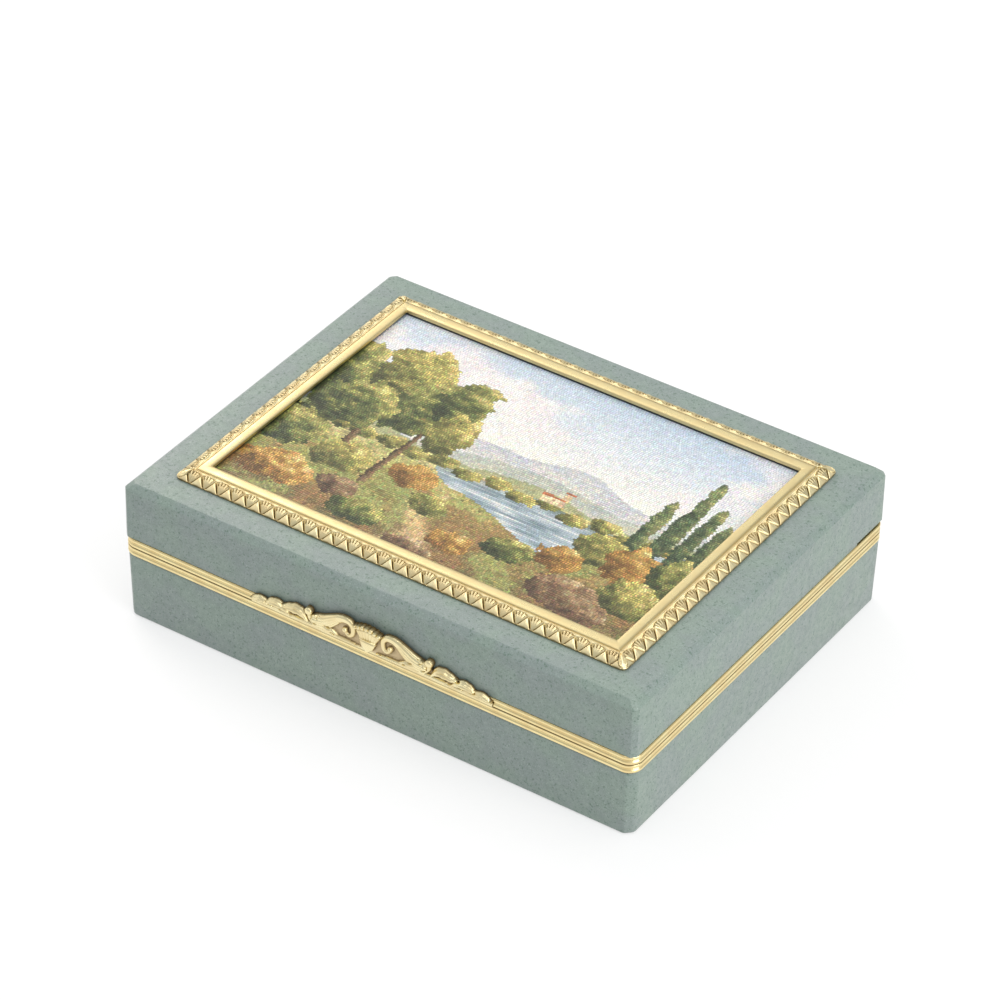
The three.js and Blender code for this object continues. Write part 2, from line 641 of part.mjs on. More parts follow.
function thumbpiece() {
  const half = THUMB_WIDTH / 2;
  const plate = new THREE.ExtrudeGeometry(thumbOutline(), {
    depth: THUMB_PLATE,
    bevelEnabled: false,
    curveSegments: 2,
  });
  let body = solid(upright(plate));
  body = body.add(solid(boxBetween(
    [-half, THUMB_BACK_Y - THUMB_STRIP_DEPTH, JOINT_Z + THUMB_GAP],
    [half, THUMB_BACK_Y, JOINT_Z + THUMB_STRIP_HEIGHT],
  )));
  const ribHalfLength = SHELL_HALF_RIB * THUMB_HEIGHT;
  const ribReach = SHELL_REACH * THUMB_HEIGHT;
  for (let rib = 0; rib < SHELL_RIBS; rib += 1) {
    const turn = (rib / (SHELL_RIBS - 1) - 0.5) * SHELL_SPREAD * Math.PI / 180;
    const x = ribReach * Math.sin(turn);
    const y = SHELL_ROOT * THUMB_HEIGHT + ribReach * Math.cos(turn);
    body = body.add(lobe(x, y, ribHalfLength, SHELL_RIB_WIDTH / 2, SHELL_DEPTH, Math.PI / 2 - turn));
  }
  KNOB_PLACES.forEach(([across, up]) => {
    body = body.add(lobe(across * half, up * THUMB_HEIGHT, KNOB_RADIUS, KNOB_RADIUS, KNOB_DEPTH, 0));
  });
  [-1, 1].forEach((side) => {
    body = body.add(scroll(side));
    THUMB_LEAF_PLACES.forEach(([across, up], i) => {
      const x = side * across * half;
      const y = up * THUMB_HEIGHT;
      const [halfLength, halfHeight] = [THUMB_LEAF_HALF_LENGTH[i], THUMB_LEAF_HALF_HEIGHT[i]];
      body = body.add(lobe(x, y, halfLength, halfHeight, THUMB_LEAF_DEPTH[i], -side * LEAF_TILT));
    });
  });
  const behind = boxBetween(
    [-half - CUT_MARGIN, THUMB_BACK_Y, 0],
    [half + CUT_MARGIN, 0, LID_TOP_Z],
  );
  const below = boxBetween(
    [-half - CUT_MARGIN, THUMB_BACK_Y - 4 * CUT_MARGIN, 0],
    [half + CUT_MARGIN, THUMB_BACK_Y + CUT_MARGIN, JOINT_Z + THUMB_GAP],
  );
  return body.subtract(solid(behind)).subtract(solid(below));
}

add('base_stone', geometryOf(baseStone()), stoneFinish);
add('lid_stone', geometryOf(lidStone()), stoneFinish);
add('base_rim', geometryOf(baseRim()), goldFinish);
add('lid_rim', geometryOf(lidRim()), goldFinish);
for (let place = 0; place < KNUCKLE_COUNT; place += 1) {
  const onBase = place % 2 === 0;
  const name = `${onBase ? 'base' : 'lid'}_knuckle_${Math.floor(place / 2) + 1}`;
  add(name, geometryOf(knuckle(place, onBase)), goldFinish);
}
addPin();
add('mosaic_bezel', geometryOf(mosaicBezel()), goldFinish);
addLeafBorder();
addPanel();
addNuts();
add('thumbpiece', geometryOf(thumbpiece()), goldFinish);

export default box;
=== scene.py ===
"""Looks of a hardstone snuff box with a micro mosaic lid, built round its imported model."""

import logging
import math
from dataclasses import dataclass, field
from enum import Enum
from typing import Sequence

import bmesh
import bpy
import numpy as np
from mathutils import Matrix, Vector


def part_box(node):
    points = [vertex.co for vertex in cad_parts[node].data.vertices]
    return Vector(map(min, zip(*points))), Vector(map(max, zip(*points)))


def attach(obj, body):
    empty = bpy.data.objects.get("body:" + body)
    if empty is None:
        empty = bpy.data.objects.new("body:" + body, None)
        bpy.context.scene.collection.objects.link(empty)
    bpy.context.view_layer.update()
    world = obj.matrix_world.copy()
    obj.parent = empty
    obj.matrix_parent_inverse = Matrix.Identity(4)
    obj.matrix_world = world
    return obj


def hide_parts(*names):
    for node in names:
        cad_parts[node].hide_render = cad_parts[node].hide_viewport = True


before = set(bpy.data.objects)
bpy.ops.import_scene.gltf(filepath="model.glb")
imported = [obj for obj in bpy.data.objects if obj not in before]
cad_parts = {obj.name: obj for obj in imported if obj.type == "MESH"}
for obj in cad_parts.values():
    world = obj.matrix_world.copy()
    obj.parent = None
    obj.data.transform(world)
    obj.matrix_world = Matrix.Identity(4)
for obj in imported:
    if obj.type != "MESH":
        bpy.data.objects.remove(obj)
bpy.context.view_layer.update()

log = logging.getLogger("snuff_box")

MM = 0.001
SHARP_ANGLE = math.radians(38)
WELD = 2e-6
WHITE = (1, 1, 1, 1)
Array = np.ndarray
Mesh = bpy.types.Mesh
Socket = bpy.types.NodeSocket
Colour = tuple[float, float, float]
Pair = tuple[float, float]
Row = tuple[float, float, float, float]
Stops = Sequence[tuple[float, Colour]]
Route = Sequence[tuple[float, float, float]]


def linear(red: float, green: float, blue: float) -> Colour:
    """Turns a screen colour from 0 to 255 into the linear colour that shaders use."""
    shares = np.array([red, green, blue]) / 255
    return tuple(np.where(shares <= 0.04045, shares / 12.92, ((shares + 0.055) / 1.055) ** 2.4))


def scale(*stops: Row) -> Stops:
    """A colour scale from places, each with its screen colour."""
    return [(place, linear(*colour)) for place, *colour in stops]


def extent(node: str) -> tuple[Array, Array]:
    """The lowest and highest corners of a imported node, in millimetres."""
    low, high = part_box(node)
    return np.array(low) / MM, np.array(high) / MM


class Value:
    """A number socket of a node tree, on which sums are written as Python expressions."""

    def __init__(self, tree: "NodeTree", socket: Socket) -> None:
        """Wraps a socket.

        Args:
            tree: The tree that the socket is in.
            socket: An output that holds a number.
        """
        self.tree = tree
        self.socket = socket

    def _math(self, operation: str, first: object, second: object = None) -> "Value":
        """Adds one Math node and returns its result."""
        inputs = {0: first} if second is None else {0: first, 1: second}
        made = self.tree.node("ShaderNodeMath", {"operation": operation}, inputs)
        return Value(self.tree, made.outputs[0])

    def __add__(self, other: object) -> "Value":
        """This number plus another."""
        return self._math("ADD", self, other)

    def __radd__(self, other: object) -> "Value":
        """Another number plus this one."""
        return self._math("ADD", other, self)

    def __sub__(self, other: object) -> "Value":
        """This number less another."""
        return self._math("SUBTRACT", self, other)

    def __rsub__(self, other: object) -> "Value":
        """Another number less this one."""
        return self._math("SUBTRACT", other, self)

    def __mul__(self, other: object) -> "Value":
        """This number times another."""
        return self._math("MULTIPLY", self, other)

    def __rmul__(self, other: object) -> "Value":
        """Another number times this one."""
        return self._math("MULTIPLY", other, self)

    def __abs__(self) -> "Value":
        """This number without its sign."""
        return self._math("ABSOLUTE", self)

    def ramp(self, low: float, high: float) -> "Value":
        """Nought below the low value, one above the high one, and a smooth step between them."""
        settings = {"interpolation_type": "SMOOTHSTEP"}
        inputs = {"Value": self, "From Min": low, "From Max": high}
        return Value(self.tree, self.tree.node("ShaderNodeMapRange", settings, inputs).outputs[0])


class NodeTree:
    """A node tree of any kind, and the one method that adds nodes to it."""

    def __init__(self, tree: bpy.types.NodeTree) -> None:
        """Empties a tree and keeps it."""
        self.tree = tree
        tree.nodes.clear()

    def node(self, kind: str, settings: dict | None = None, inputs: dict | None = None) -> bpy.types.Node:
        """Adds a node.

        Args:
            kind: The node's type.
            settings: Its own settings, which are set first.
            inputs: Values or links of its sockets, by name, identifier or number.

        Returns:
            The new node.
        """
        made = self.tree.nodes.new(kind)
        for name, value in (settings or {}).items():
            setattr(made, name, value)
        for key, value in (inputs or {}).items():
            socket = self._socket(made, key)
            value = value.socket if isinstance(value, Value) else value
            if isinstance(value, Socket):
                self.tree.links.new(value, socket)
            else:
                socket.default_value = value
        return made

    @staticmethod
    def _socket(made: bpy.types.Node, key: int | str) -> Socket:
        """Finds a node's input by its number, identifier or name."""
        if isinstance(key, int):
            return made.inputs[key]
        named = [socket for socket in made.inputs if key in (socket.identifier, socket.name)]
        return named[0]


class ShaderTree(NodeTree):
    """The nodes of one material or world."""

    def __init__(self, tree: bpy.types.NodeTree) -> None:
        """Empties the tree and adds the object's own coordinates."""
        super().__init__(tree)
        self.place = self.node("ShaderNodeTexCoord").outputs["Object"]

    def noise(self, size: float, detail: float = 2.0, roughness: float = 0.5, place: object = None) -> Value:
        """Adds a noise.

        Args:
            size: The size of its features in millimetres.
            detail: The number of finer layers.
            roughness: The strength of the finer layers.
            place: The coordinates it reads, or None for the object's own.

        Returns:
            Its value, about one half on average.
        """
        inputs = {"Vector": place or self.place, "Scale": 1 / (size * MM)}
        inputs |= {"Detail": detail, "Roughness": roughness}
        return Value(self, self.node("ShaderNodeTexNoise", None, inputs).outputs[0])

    def stretched(self, scale: tuple[float, float, float]) -> Socket:
        """The object's coordinates, stretched by a factor along each axis."""
        inputs = {"Vector": self.place, "Scale": scale}
        return self.node("ShaderNodeMapping", None, inputs).outputs[0]

    def mix(self, factor: object, first: object, second: object, way: str = "MIX") -> Socket:
        """Mixes two colours, each a link or a plain colour, and returns the result."""
        sides = {"A_Color": first, "B_Color": second}
        inputs = {key: (*side, 1.0) if isinstance(side, tuple) else side for key, side in sides.items()}
        settings = {"data_type": "RGBA", "blend_type": way}
        made = self.node("ShaderNodeMix", settings, {"Factor_Float": factor, **inputs})
        return next(socket for socket in made.outputs if socket.identifier == "Result_Color")

    def shaded(self, colour: object, shade: Value) -> Socket:
        """A colour made lighter or darker by a number."""
        grey = self.node("ShaderNodeCombineColor", None, {0: shade, 1: shade, 2: shade}).outputs[0]
        return self.mix(1.0, colour, grey, "MULTIPLY")

    def attribute(self, name: str) -> bpy.types.Node:
        """The node that reads a named attribute of the mesh."""
        return self.node("ShaderNodeAttribute", {"attribute_name": name})

    def bump(self, height: Value, depth: float) -> Socket:
        """A normal shaken by a height.

        Args:
            height: The height, from nought to one.
            depth: How deep one is, in millimetres.

        Returns:
            The normal.
        """
        inputs = {"Height": height, "Distance": depth * MM, "Strength": 1.0}
        return self.node("ShaderNodeBump", None, inputs).outputs[0]

    def principled(self, inputs: dict) -> Socket:
        """The main shader, with the given values and links."""
        return self.node("ShaderNodeBsdfPrincipled", None, inputs).outputs[0]


@dataclass(frozen=True)
class Finish:
    """A surface finish that writes itself as a material."""

    name: str

    def shader(self, tree: ShaderTree) -> Socket:
        """Adds the finish's nodes and returns its shader."""
        raise NotImplementedError

    def material(self) -> bpy.types.Material:
        """The finish's material, made the first time it is asked for."""
        made = bpy.data.materials.get(self.name)
        if made is None:
            made = bpy.data.materials.new(self.name)
            made.use_nodes = True
            tree = ShaderTree(made.node_tree)
            tree.node("ShaderNodeOutputMaterial", None, {"Surface": self.shader(tree)})
        return made


@dataclass(frozen=True)
class StoneFinish(Finish):
    """Polished fine-grained hardstone: grey-green, clouded, with darker green specks."""

    name: str = "speckled_hardstone"
    cool: Colour = linear(139, 150, 146)
    green: Colour = linear(139, 154, 144)
    speck: Colour = linear(90, 114, 101)
    pale: Colour = linear(172, 186, 178)
    cloud_size: float = 6.0
    mottle_size: float = 1.1
    speck_size: float = 0.42
    grain_size: float = 0.16
    mottling: float = 0.2
    specks: float = 0.75
    crystals: float = 0.45
    shades: Pair = (0.68, 0.64)
    roughness: float = 0.3
    grain_depth: float = 0.004

    def shader(self, tree: ShaderTree) -> Socket:
        """Clouds, mottling, specks and grain over a polish that varies a little."""
        cloud = tree.noise(self.cloud_size, 3.0).ramp(0.36, 0.64)
        mottle = tree.noise(self.mottle_size, 3.0, 0.6).ramp(0.3, 0.7)
        grain = tree.noise(self.grain_size, 2.0, 0.6)
        specks = tree.noise(self.speck_size, 1.5, 0.55).ramp(0.57, 0.72)
        crystals = tree.noise(self.speck_size * 0.6, 1.0).ramp(0.62, 0.76)
        colour = tree.mix(cloud, self.cool, self.green)
        colour = tree.mix(self.mottling * mottle, colour, self.speck)
        colour = tree.mix(self.specks * specks, colour, self.speck)
        colour = tree.mix(self.crystals * crystals, colour, self.pale)
        darkest, gain = self.shades
        return tree.principled({
            "Base Color": tree.shaded(colour, darkest + gain * grain),
            "Roughness": self.roughness + 0.14 * mottle,
            "Normal": tree.bump(grain, self.grain_depth),
        })


@dataclass(frozen=True)
class GoldFinish(Finish):
    """Gold, softly scratched, with painted shade in its recesses, dark joint lines and a duller matted
    ground.
    """

    name: str = "chased_gold"
    bright: Colour = linear(244, 221, 163)
    rosy: Colour = linear(236, 205, 150)
    # The colour of the painted shade in recesses and under edges, and of the rims' dark joint lines.
    hollow: Colour = linear(108, 88, 50)
    matted: Colour = linear(214, 194, 156)
    roughness: float = 0.2
    scratch_size: float = 0.12
    scratch_depth: float = 0.0016
    punch_size: float = 0.14
    punch_depth: float = 12.0
    stretch: float = 0.08
    mitre: float = 10.4

    def shader(self, tree: ShaderTree) -> Socket:
        """Two tones of gold, fine scratches along each side, and the painted shade kept on the mesh's
        vertices.
        """
        tone = tree.noise(2.5, 3.0).ramp(0.35, 0.65)
        along = tree.noise(self.scratch_size, 2.0, 0.6, tree.stretched((self.stretch, 1.0, 1.0)))
        across = tree.noise(self.scratch_size, 2.0, 0.6, tree.stretched((1.0, self.stretch, 1.0)))
        axes = tree.node("ShaderNodeSeparateXYZ", None, {0: tree.place}).outputs
        lengthwise = abs(Value(tree, axes[1])) - abs(Value(tree, axes[0]))
        side = lengthwise.ramp(-(self.mitre + 0.1) * MM, -(self.mitre - 0.1) * MM)
        hollow, matted = (Value(tree, tree.attribute(name).outputs["Fac"]) for name in ("cavity", "matted"))
        punches = tree.noise(self.punch_size, 2.0)
        colour = tree.mix(0.6 * tone, self.bright, self.rosy)
        colour = tree.mix(matted, colour, self.matted)
        # Painted shade, and the rims' dark joint lines: the gold darkens towards the hollow colour.
        colour = tree.mix(hollow, colour, self.hollow)
        scratches = side * along + (1 - side) * across + self.punch_depth * matted * punches
        return tree.principled({
            "Base Color": colour,
            "Metallic": 1.0,
            "Roughness": self.roughness + 0.12 * tone + 0.2 * hollow + 0.25 * matted,
            "Normal": tree.bump(scratches, self.scratch_depth),
        })


@dataclass(frozen=True)
class CopperFinish(Finish):
    """Dull rolled copper sheet."""

    name: str = "dull_copper"
    copper: Colour = linear(176, 112, 78)
    tarnish: Colour = linear(92, 62, 44)

    def shader(self, tree: ShaderTree) -> Socket:
        """Copper with brown tarnish and rolling lines."""
        tarnish = tree.noise(3.0, 4.0).ramp(0.4, 0.7)
        lines = tree.noise(0.3, 2.0, 0.5, tree.stretched((0.05, 1.0, 1.0)))
        return tree.principled({
            "Base Color": tree.mix(tarnish, self.copper, self.tarnish),
            "Metallic": 1.0,
            "Roughness": 0.38 + 0.25 * tarnish,
            "Normal": tree.bump(lines, 0.004),
        })


@dataclass(frozen=True)
class MasticFinish(Finish):
    """Set oil mastic, pale and matt."""

    name: str = "set_mastic"
    pale: Colour = linear(206, 190, 152)
    dark: Colour = linear(158, 138, 104)

    def shader(self, tree: ShaderTree) -> Socket:
        """Uneven cream paste with a crumbly surface."""
        patches = tree.noise(1.2, 4.0, 0.6).ramp(0.35, 0.7)
        crumbs = tree.noise(0.2, 3.0, 0.6)
        return tree.principled({
            "Base Color": tree.mix(patches, self.pale, self.dark),
            "Roughness": 0.75 + 0.15 * patches,
            "Normal": tree.bump(crumbs, 0.03),
        })


@dataclass(frozen=True)
class TesseraFinish(Finish):
    """Ground and waxed glass, coloured block by block."""

    name: str = "waxed_glass"
    attribute_name: str = "tint"
    polish: float = 0.3

    def shader(self, tree: ShaderTree) -> Socket:
        """The block's own colour, a little uneven, under a ground and waxed surface."""
        tint = tree.attribute(self.attribute_name).outputs["Color"]
        grain = tree.noise(0.1, 2.0, 0.6)
        return tree.principled({
            "Base Color": tree.shaded(tint, 0.88 + 0.24 * grain),
            "Roughness": self.polish + 0.2 * grain,
            "Normal": tree.bump(grain, 0.004),
        })


@dataclass(frozen=True)
class PaperFinish(Finish):
    """The floor's white paper, which the camera sees whiter than the box does."""

    name: str = "white_floor"
    lit: float = 0.84
    seen: float = 0.99
    glow: float = 0.58
    mirrored: float = 0.95
    roughness: float = 0.9

    def shader(self, tree: ShaderTree) -> Socket:
        """Matt paper that keeps the box's shadow, with a glow for the camera, glass and gold alone."""
        rays = tree.node("ShaderNodeLightPath").outputs
        camera = Value(tree, rays["Is Camera Ray"])
        share = self.glow * (camera + rays["Is Transmission Ray"])
        share = share + self.mirrored * Value(tree, rays["Is Glossy Ray"])
        colour = tree.mix(camera, (self.lit,) * 3, (self.seen,) * 3)
        paper = tree.principled({"Base Color": colour, "Roughness": self.roughness})
        glow = tree.node("ShaderNodeEmission", None, {"Color": WHITE, "Strength": 1.0}).outputs[0]
        return tree.node("ShaderNodeMixShader", None, {0: share, 1: paper, 2: glow}).outputs[0]


@dataclass
class MeshData:
    """Vertices in millimetres, faces, and numbers or colours kept on the vertices."""

    vertices: Array
    faces: list
    values: dict[str, Array] = field(default_factory=dict)

    def joined(self, other: "MeshData") -> "MeshData":
        """This mesh and another as one. Neither keeps values."""
        faces = [*self.faces, *(tuple(i + len(self.vertices) for i in face) for face in other.faces)]
        return MeshData(np.vstack([self.vertices, other.vertices]), faces)

    def moved(self, matrix: Matrix) -> "MeshData":
        """A copy with every vertex put through a matrix."""
        turn = np.array(matrix)
        return MeshData(self.vertices @ turn[:3, :3].T + turn[:3, 3], self.faces, self.values)

    def mesh(self, name: str, outward: bool = False) -> Mesh:
        """Makes the mesh in metres.

        Args:
            name: The mesh's name.
            outward: Whether to turn the faces of a closed shell outwards.

        Returns:
            The mesh, smooth but for its sharp edges.
        """
        made = bpy.data.meshes.new(name)
        made.from_pydata((self.vertices * MM).tolist(), [], [tuple(map(int, face)) for face in self.faces])
        for key, values in self.values.items():
            keep(made, key, values)
        if outward:
            turn_outwards(made)
        smooth(made)
        return made


def keep(mesh: Mesh, name: str, values: Array, is_colour: bool = True) -> None:
    """Keeps numbers, colours or directions on the vertices of a mesh.

    Args:
        mesh: The mesh.
        name: The attribute's name.
        values: A number, or a row of three, for each vertex.
        is_colour: Whether three numbers are a colour, and not a direction.
    """
    kind, key = ("FLOAT", "value") if values.ndim == 1 else ("FLOAT_VECTOR", "vector")
    if values.ndim == 2 and is_colour:
        kind, key = "FLOAT_COLOR", "color"
        values = np.column_stack([values, np.ones(len(values))])
    mesh.attributes.new(name, kind, "POINT").data.foreach_set(key, values.astype(np.float32).ravel())


def turn_outwards(mesh: Mesh, mend: bool = False) -> None:
    """Turns the faces of closed shells outwards.

    Args:
        mesh: The mesh.
        mend: Whether its repeats are joined and its open ends closed first.
    """
    shell = bmesh.new()
    shell.from_mesh(mesh)
    if mend:
        bmesh.ops.remove_doubles(shell, verts=shell.verts, dist=WELD)
        bmesh.ops.holes_fill(shell, edges=[edge for edge in shell.edges if edge.is_boundary], sides=0)
    bmesh.ops.recalc_face_normals(shell, faces=shell.faces)
    shell.to_mesh(mesh)
    shell.free()


def smooth(mesh: Mesh) -> None:
    """Shades a mesh smooth and keeps its sharp edges."""
    mesh.polygons.foreach_set("use_smooth", np.ones(len(mesh.polygons), dtype=bool))
    mesh.set_sharp_from_angle(angle=SHARP_ANGLE)
    mesh.update()


def placed(name: str, content: bpy.types.ID) -> bpy.types.Object:
    """Puts a new object with its mesh, camera or light in the scene."""
    made = bpy.data.objects.new(name, content)
    bpy.context.scene.collection.objects.link(made)
    return made


def piece(name: str, mesh: Mesh, finish: Finish | None = None) -> bpy.types.Object:
    """Puts a mesh in the scene.

    Args:
        name: The object's name.
        mesh: Its mesh, in metres and in place.
        finish: Its finish, or None where the mesh has its material already.

    Returns:
        The object.
    """
    if finish is not None:
        mesh.materials.clear()
        mesh.materials.append(finish.material())
    log.info("%s: %d faces", name, len(mesh.polygons))
    return placed(name, mesh)


def applied(holder: bpy.types.Object) -> Mesh:
    """The plain mesh that an object's modifiers give. The object is removed."""
    graph = bpy.context.evaluated_depsgraph_get()
    mesh = bpy.data.meshes.new_from_object(holder.evaluated_get(graph), depsgraph=graph)
    holder.modifiers.clear()
    bpy.data.objects.remove(holder)
    return mesh


class Body(Enum):
    """The two bodies that the hinge joins."""

    BASE = "base"
    LID = "lid"


def settle(made: bpy.types.Object, body: Body, slot: str, *nodes: str) -> None:
    """Rides a piece on its body, in place of the nodes that it stands for."""
    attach(made, body.value)
    if nodes:
        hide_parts(*nodes)


class GeometryTree(NodeTree):
    """A Geometry Nodes tree with named inputs."""

    def __init__(self, name: str, inputs: dict[str, str]) -> None:
        """Makes the tree.

        Args:
            name: The tree's name.
            inputs: Socket types by the names of the inputs, after the geometry.
        """
        super().__init__(bpy.data.node_groups.new(name, "GeometryNodeTree"))
        face = self.tree.interface
        face.new_socket("Geometry", in_out="INPUT", socket_type="NodeSocketGeometry")
        made = {key: face.new_socket(key, in_out="INPUT", socket_type=kind) for key, kind in inputs.items()}
        face.new_socket("Geometry", in_out="OUTPUT", socket_type="NodeSocketGeometry")
        self.identifiers = {key: socket.identifier for key, socket in made.items()}
        self.inputs = self.node("NodeGroupInput").outputs

    def finish(self, points: object, instance: object, more: dict | None = None) -> None:
        """Ends the tree: puts a shape at each point, realizes the shapes and sets their material.

        Args:
            points: The link that brings the points.
            instance: The link that brings the shape.
            more: Other inputs of the shapes, such as their rotation.
        """
        inputs = {"Points": points, "Instance": instance, **(more or {})}
        instances = self.node("GeometryNodeInstanceOnPoints", None, inputs).outputs[0]
        real = self.node("GeometryNodeRealizeInstances", None, {0: instances}).outputs[0]
        inputs = {"Geometry": real, "Material": self.inputs["Material"]}
        dressed = self.node("GeometryNodeSetMaterial", None, inputs).outputs[0]
        self.node("NodeGroupOutput", None, {0: dressed})

    def grow(self, seed: Mesh, values: dict[str, object]) -> Mesh:
        """Runs the tree on a mesh.

        Args:
            seed: The mesh that goes in.
            values: The values of the inputs, by name.

        Returns:
            The plain mesh that comes out.
        """
        holder = placed(seed.name, seed)
        modifier = holder.modifiers.new(self.tree.name, "NODES")
        modifier.node_group = self.tree
        for key, value in values.items():
            modifier[self.identifiers[key]] = value
        return applied(holder)


def row_tree() -> GeometryTree:
    """A tree that repeats the mesh that goes in along X, centred on the middle of the row."""
    tree = GeometryTree("row_of_motifs", {
        "Count": "NodeSocketInt", "Pitch": "NodeSocketFloat", "Material": "NodeSocketMaterial",
    })
    count = Value(tree, tree.inputs["Count"])
    pitch = Value(tree, tree.inputs["Pitch"])
    start = tree.node("ShaderNodeCombineXYZ", None, {"X": (1 - count) * pitch * 0.5}).outputs[0]
    step = tree.node("ShaderNodeCombineXYZ", None, {"X": pitch}).outputs[0]
    line = tree.node("GeometryNodeMeshLine", {"mode": "OFFSET"}, {
        "Count": tree.inputs["Count"], "Start Location": start, "Offset": step,
    })
    tree.finish(line.outputs[0], tree.inputs["Geometry"])
    return tree


def block_tree() -> GeometryTree:
    """A tree that stands one block on every vertex that goes in, leaning and sized by its attributes."""
    tree = GeometryTree("field_of_blocks", {
        "Size": "NodeSocketVector", "Taper": "NodeSocketFloat", "Material": "NodeSocketMaterial",
    })
    cube = tree.node("GeometryNodeMeshCube", None, {"Size": tree.inputs["Size"]}).outputs[0]
    place = tree.node("GeometryNodeInputPosition").outputs[0]
    height = tree.node("ShaderNodeSeparateXYZ", None, {0: place}).outputs[2]
    above = tree.node("ShaderNodeMath", {"operation": "GREATER_THAN"}, {0: height, 1: 0.0}).outputs[0]
    shrunk = tree.node("ShaderNodeVectorMath", {"operation": "SCALE"}, {
        0: place, "Scale": 1 - Value(tree, tree.inputs["Taper"]),
    }).outputs[0]
    parts = tree.node("ShaderNodeSeparateXYZ", None, {0: shrunk}).outputs
    flat = tree.node("ShaderNodeCombineXYZ", None, {"X": parts[0], "Y": parts[1], "Z": height}).outputs[0]
    inputs = {"Geometry": cube, "Selection": above, "Position": flat}
    block = tree.node("GeometryNodeSetPosition", None, inputs).outputs[0]
    lean, girth = (
        tree.node("GeometryNodeInputNamedAttribute", {"data_type": "FLOAT_VECTOR"}, {"Name": name}).outputs[0]
        for name in ("lean", "girth")
    )
    points = tree.node("GeometryNodeMeshToPoints", None, {0: tree.inputs["Geometry"]}).outputs[0]
    turn = tree.node("FunctionNodeEulerToRotation", None, {0: lean}).outputs[0]
    tree.finish(points, block, {"Rotation": turn, "Scale": girth})
    return tree


def box_data(low: Sequence[float], high: Sequence[float]) -> MeshData:
    """A plain box between two corners, for cutting."""
    (x0, y0, z0), (x1, y1, z1) = low, high
    corners = np.array([[x, y, z] for z in (z0, z1) for y in (y0, y1) for x in (x0, x1)])
    faces = [(0, 2, 3, 1), (4, 5, 7, 6), (0, 1, 5, 4), (2, 6, 7, 3), (0, 4, 6, 2), (1, 3, 7, 5)]
    return MeshData(corners, faces)


def lathe(profile: Sequence[Pair], sides: int, closed: bool) -> MeshData:
    """Turns a profile round Z.

    Args:
        profile: Radii and heights. An open profile starts and ends on the axis.
        sides: The number of sides.
        closed: Whether its last point joins its first.

    Returns:
        The turned shape.
    """
    vertices, faces, starts = [], [], []
    angles = np.arange(sides) * 2 * math.pi / sides
    for r, z in profile:
        starts.append(len(vertices))
        if r == 0:
            vertices.append((0, 0, z))
        else:
            vertices += [(r * math.cos(a), r * math.sin(a), z) for a in angles]
    pairs = list(zip(range(len(profile)), range(1, len(profile))))
    if closed:
        pairs.append((len(profile) - 1, 0))
    for i, j in pairs:
        for k in range(sides):
            after = (k + 1) % sides
            a, b = starts[i] + k, starts[i] + after
            c, d = starts[j] + after, starts[j] + k
            if profile[i][0] == 0:
                faces.append((starts[i], c, d))
            elif profile[j][0] == 0:
                faces.append((a, b, starts[j]))
            else:
                faces.append((a, b, c, d))
    return MeshData(np.array(vertices, dtype=float), faces)


def corner_mask(cells: Array) -> Array:
    """Which points of a grid are corners of its chosen cells."""
    rows, columns = cells.shape
    mask = np.zeros((rows + 1, columns + 1), dtype=bool)
    for up in (0, 1):
        for across in (0, 1):
            mask[up:rows + up, across:columns + across] |= cells
    return mask


@dataclass
class Field:
    """Heights over a grid, from which a closed chased plate is made."""

    across: Array
    up: Array
    heights: Array
    values: dict[str, Array]
    inside: Array
    smoothing: int = 0
    edge_dark: float = 0.0

    def plate(self, floor: float | Array = 0.0) -> MeshData:
        """Closes the field into a plate.

        Args:
            floor: The height of the back, one number or one for each place.

        Returns:
            The plate, with the field's values on its vertices.
        """
        cells = self.inside
        used = corner_mask(cells)
        number = np.full(used.shape, -1)
        number[used] = np.arange(used.sum())
        grid_x, grid_y = np.meshgrid(self.across, self.up)
        place = np.column_stack([grid_x[used], grid_y[used]])
        row, column = np.nonzero(cells)
        corners = [(0, 0), (0, 1), (1, 1), (1, 0)]
        quads = np.column_stack([number[row + up, column + across] for up, across in corners])
        edges = self._border(cells, number)
        rim = np.unique(edges)
        for _ in range(self.smoothing):
            total, met = place.copy() * 2, np.full(len(place), 2.0)
            for a, b in (edges.T, edges.T[::-1]):
                np.add.at(total, a, place[b])
                np.add.at(met, a, 1)
            place[rim] = (total / met[:, None])[rim]
        count = len(place)
        front = np.column_stack([place, self.heights[used]])
        back = np.column_stack([place, np.broadcast_to(floor, used.shape)[used]])
        faces = [tuple(quad) for quad in quads.tolist()]
        faces += [tuple(i + count for i in reversed(quad)) for quad in quads.tolist()]
        faces += [(a, a + count, b + count, b) for a, b in edges.tolist()]
        # The back takes full values, so it lies in full painted shade and is matted; the rim's vertices take
        # at least edge_dark of painted shade.
        values = {name: np.concatenate([grid[used], np.ones(count)]) for name, grid in self.values.items()}
        if "cavity" in values:
            values["cavity"][rim] = np.maximum(values["cavity"][rim], self.edge_dark)
        return MeshData(np.vstack([front, back]), faces, values)

    @staticmethod
    def _border(cells: Array, number: Array) -> Array:
        """The edges round the field's cells, each with the field on its left.

        Args:
            cells: Which cells the field has.
            number: The number of each point's vertex.

        Returns:
            Pairs of vertices.
        """
        wide = np.pad(cells, 1)
        rows, columns = cells.shape
        found = []
        for shift, start, end in [((0, 1), (0, 0), (0, 1)), ((2, 1), (1, 1), (1, 0)),
                                  ((1, 0), (1, 0), (0, 0)), ((1, 2), (0, 1), (1, 1))]:
            other = wide[shift[0]:shift[0] + rows, shift[1]:shift[1] + columns]
            row, column = np.nonzero(cells & ~other)
            found.append(np.column_stack([
                number[row + start[0], column + start[1]], number[row + end[0], column + end[1]],
            ]))
        return np.vstack(found)


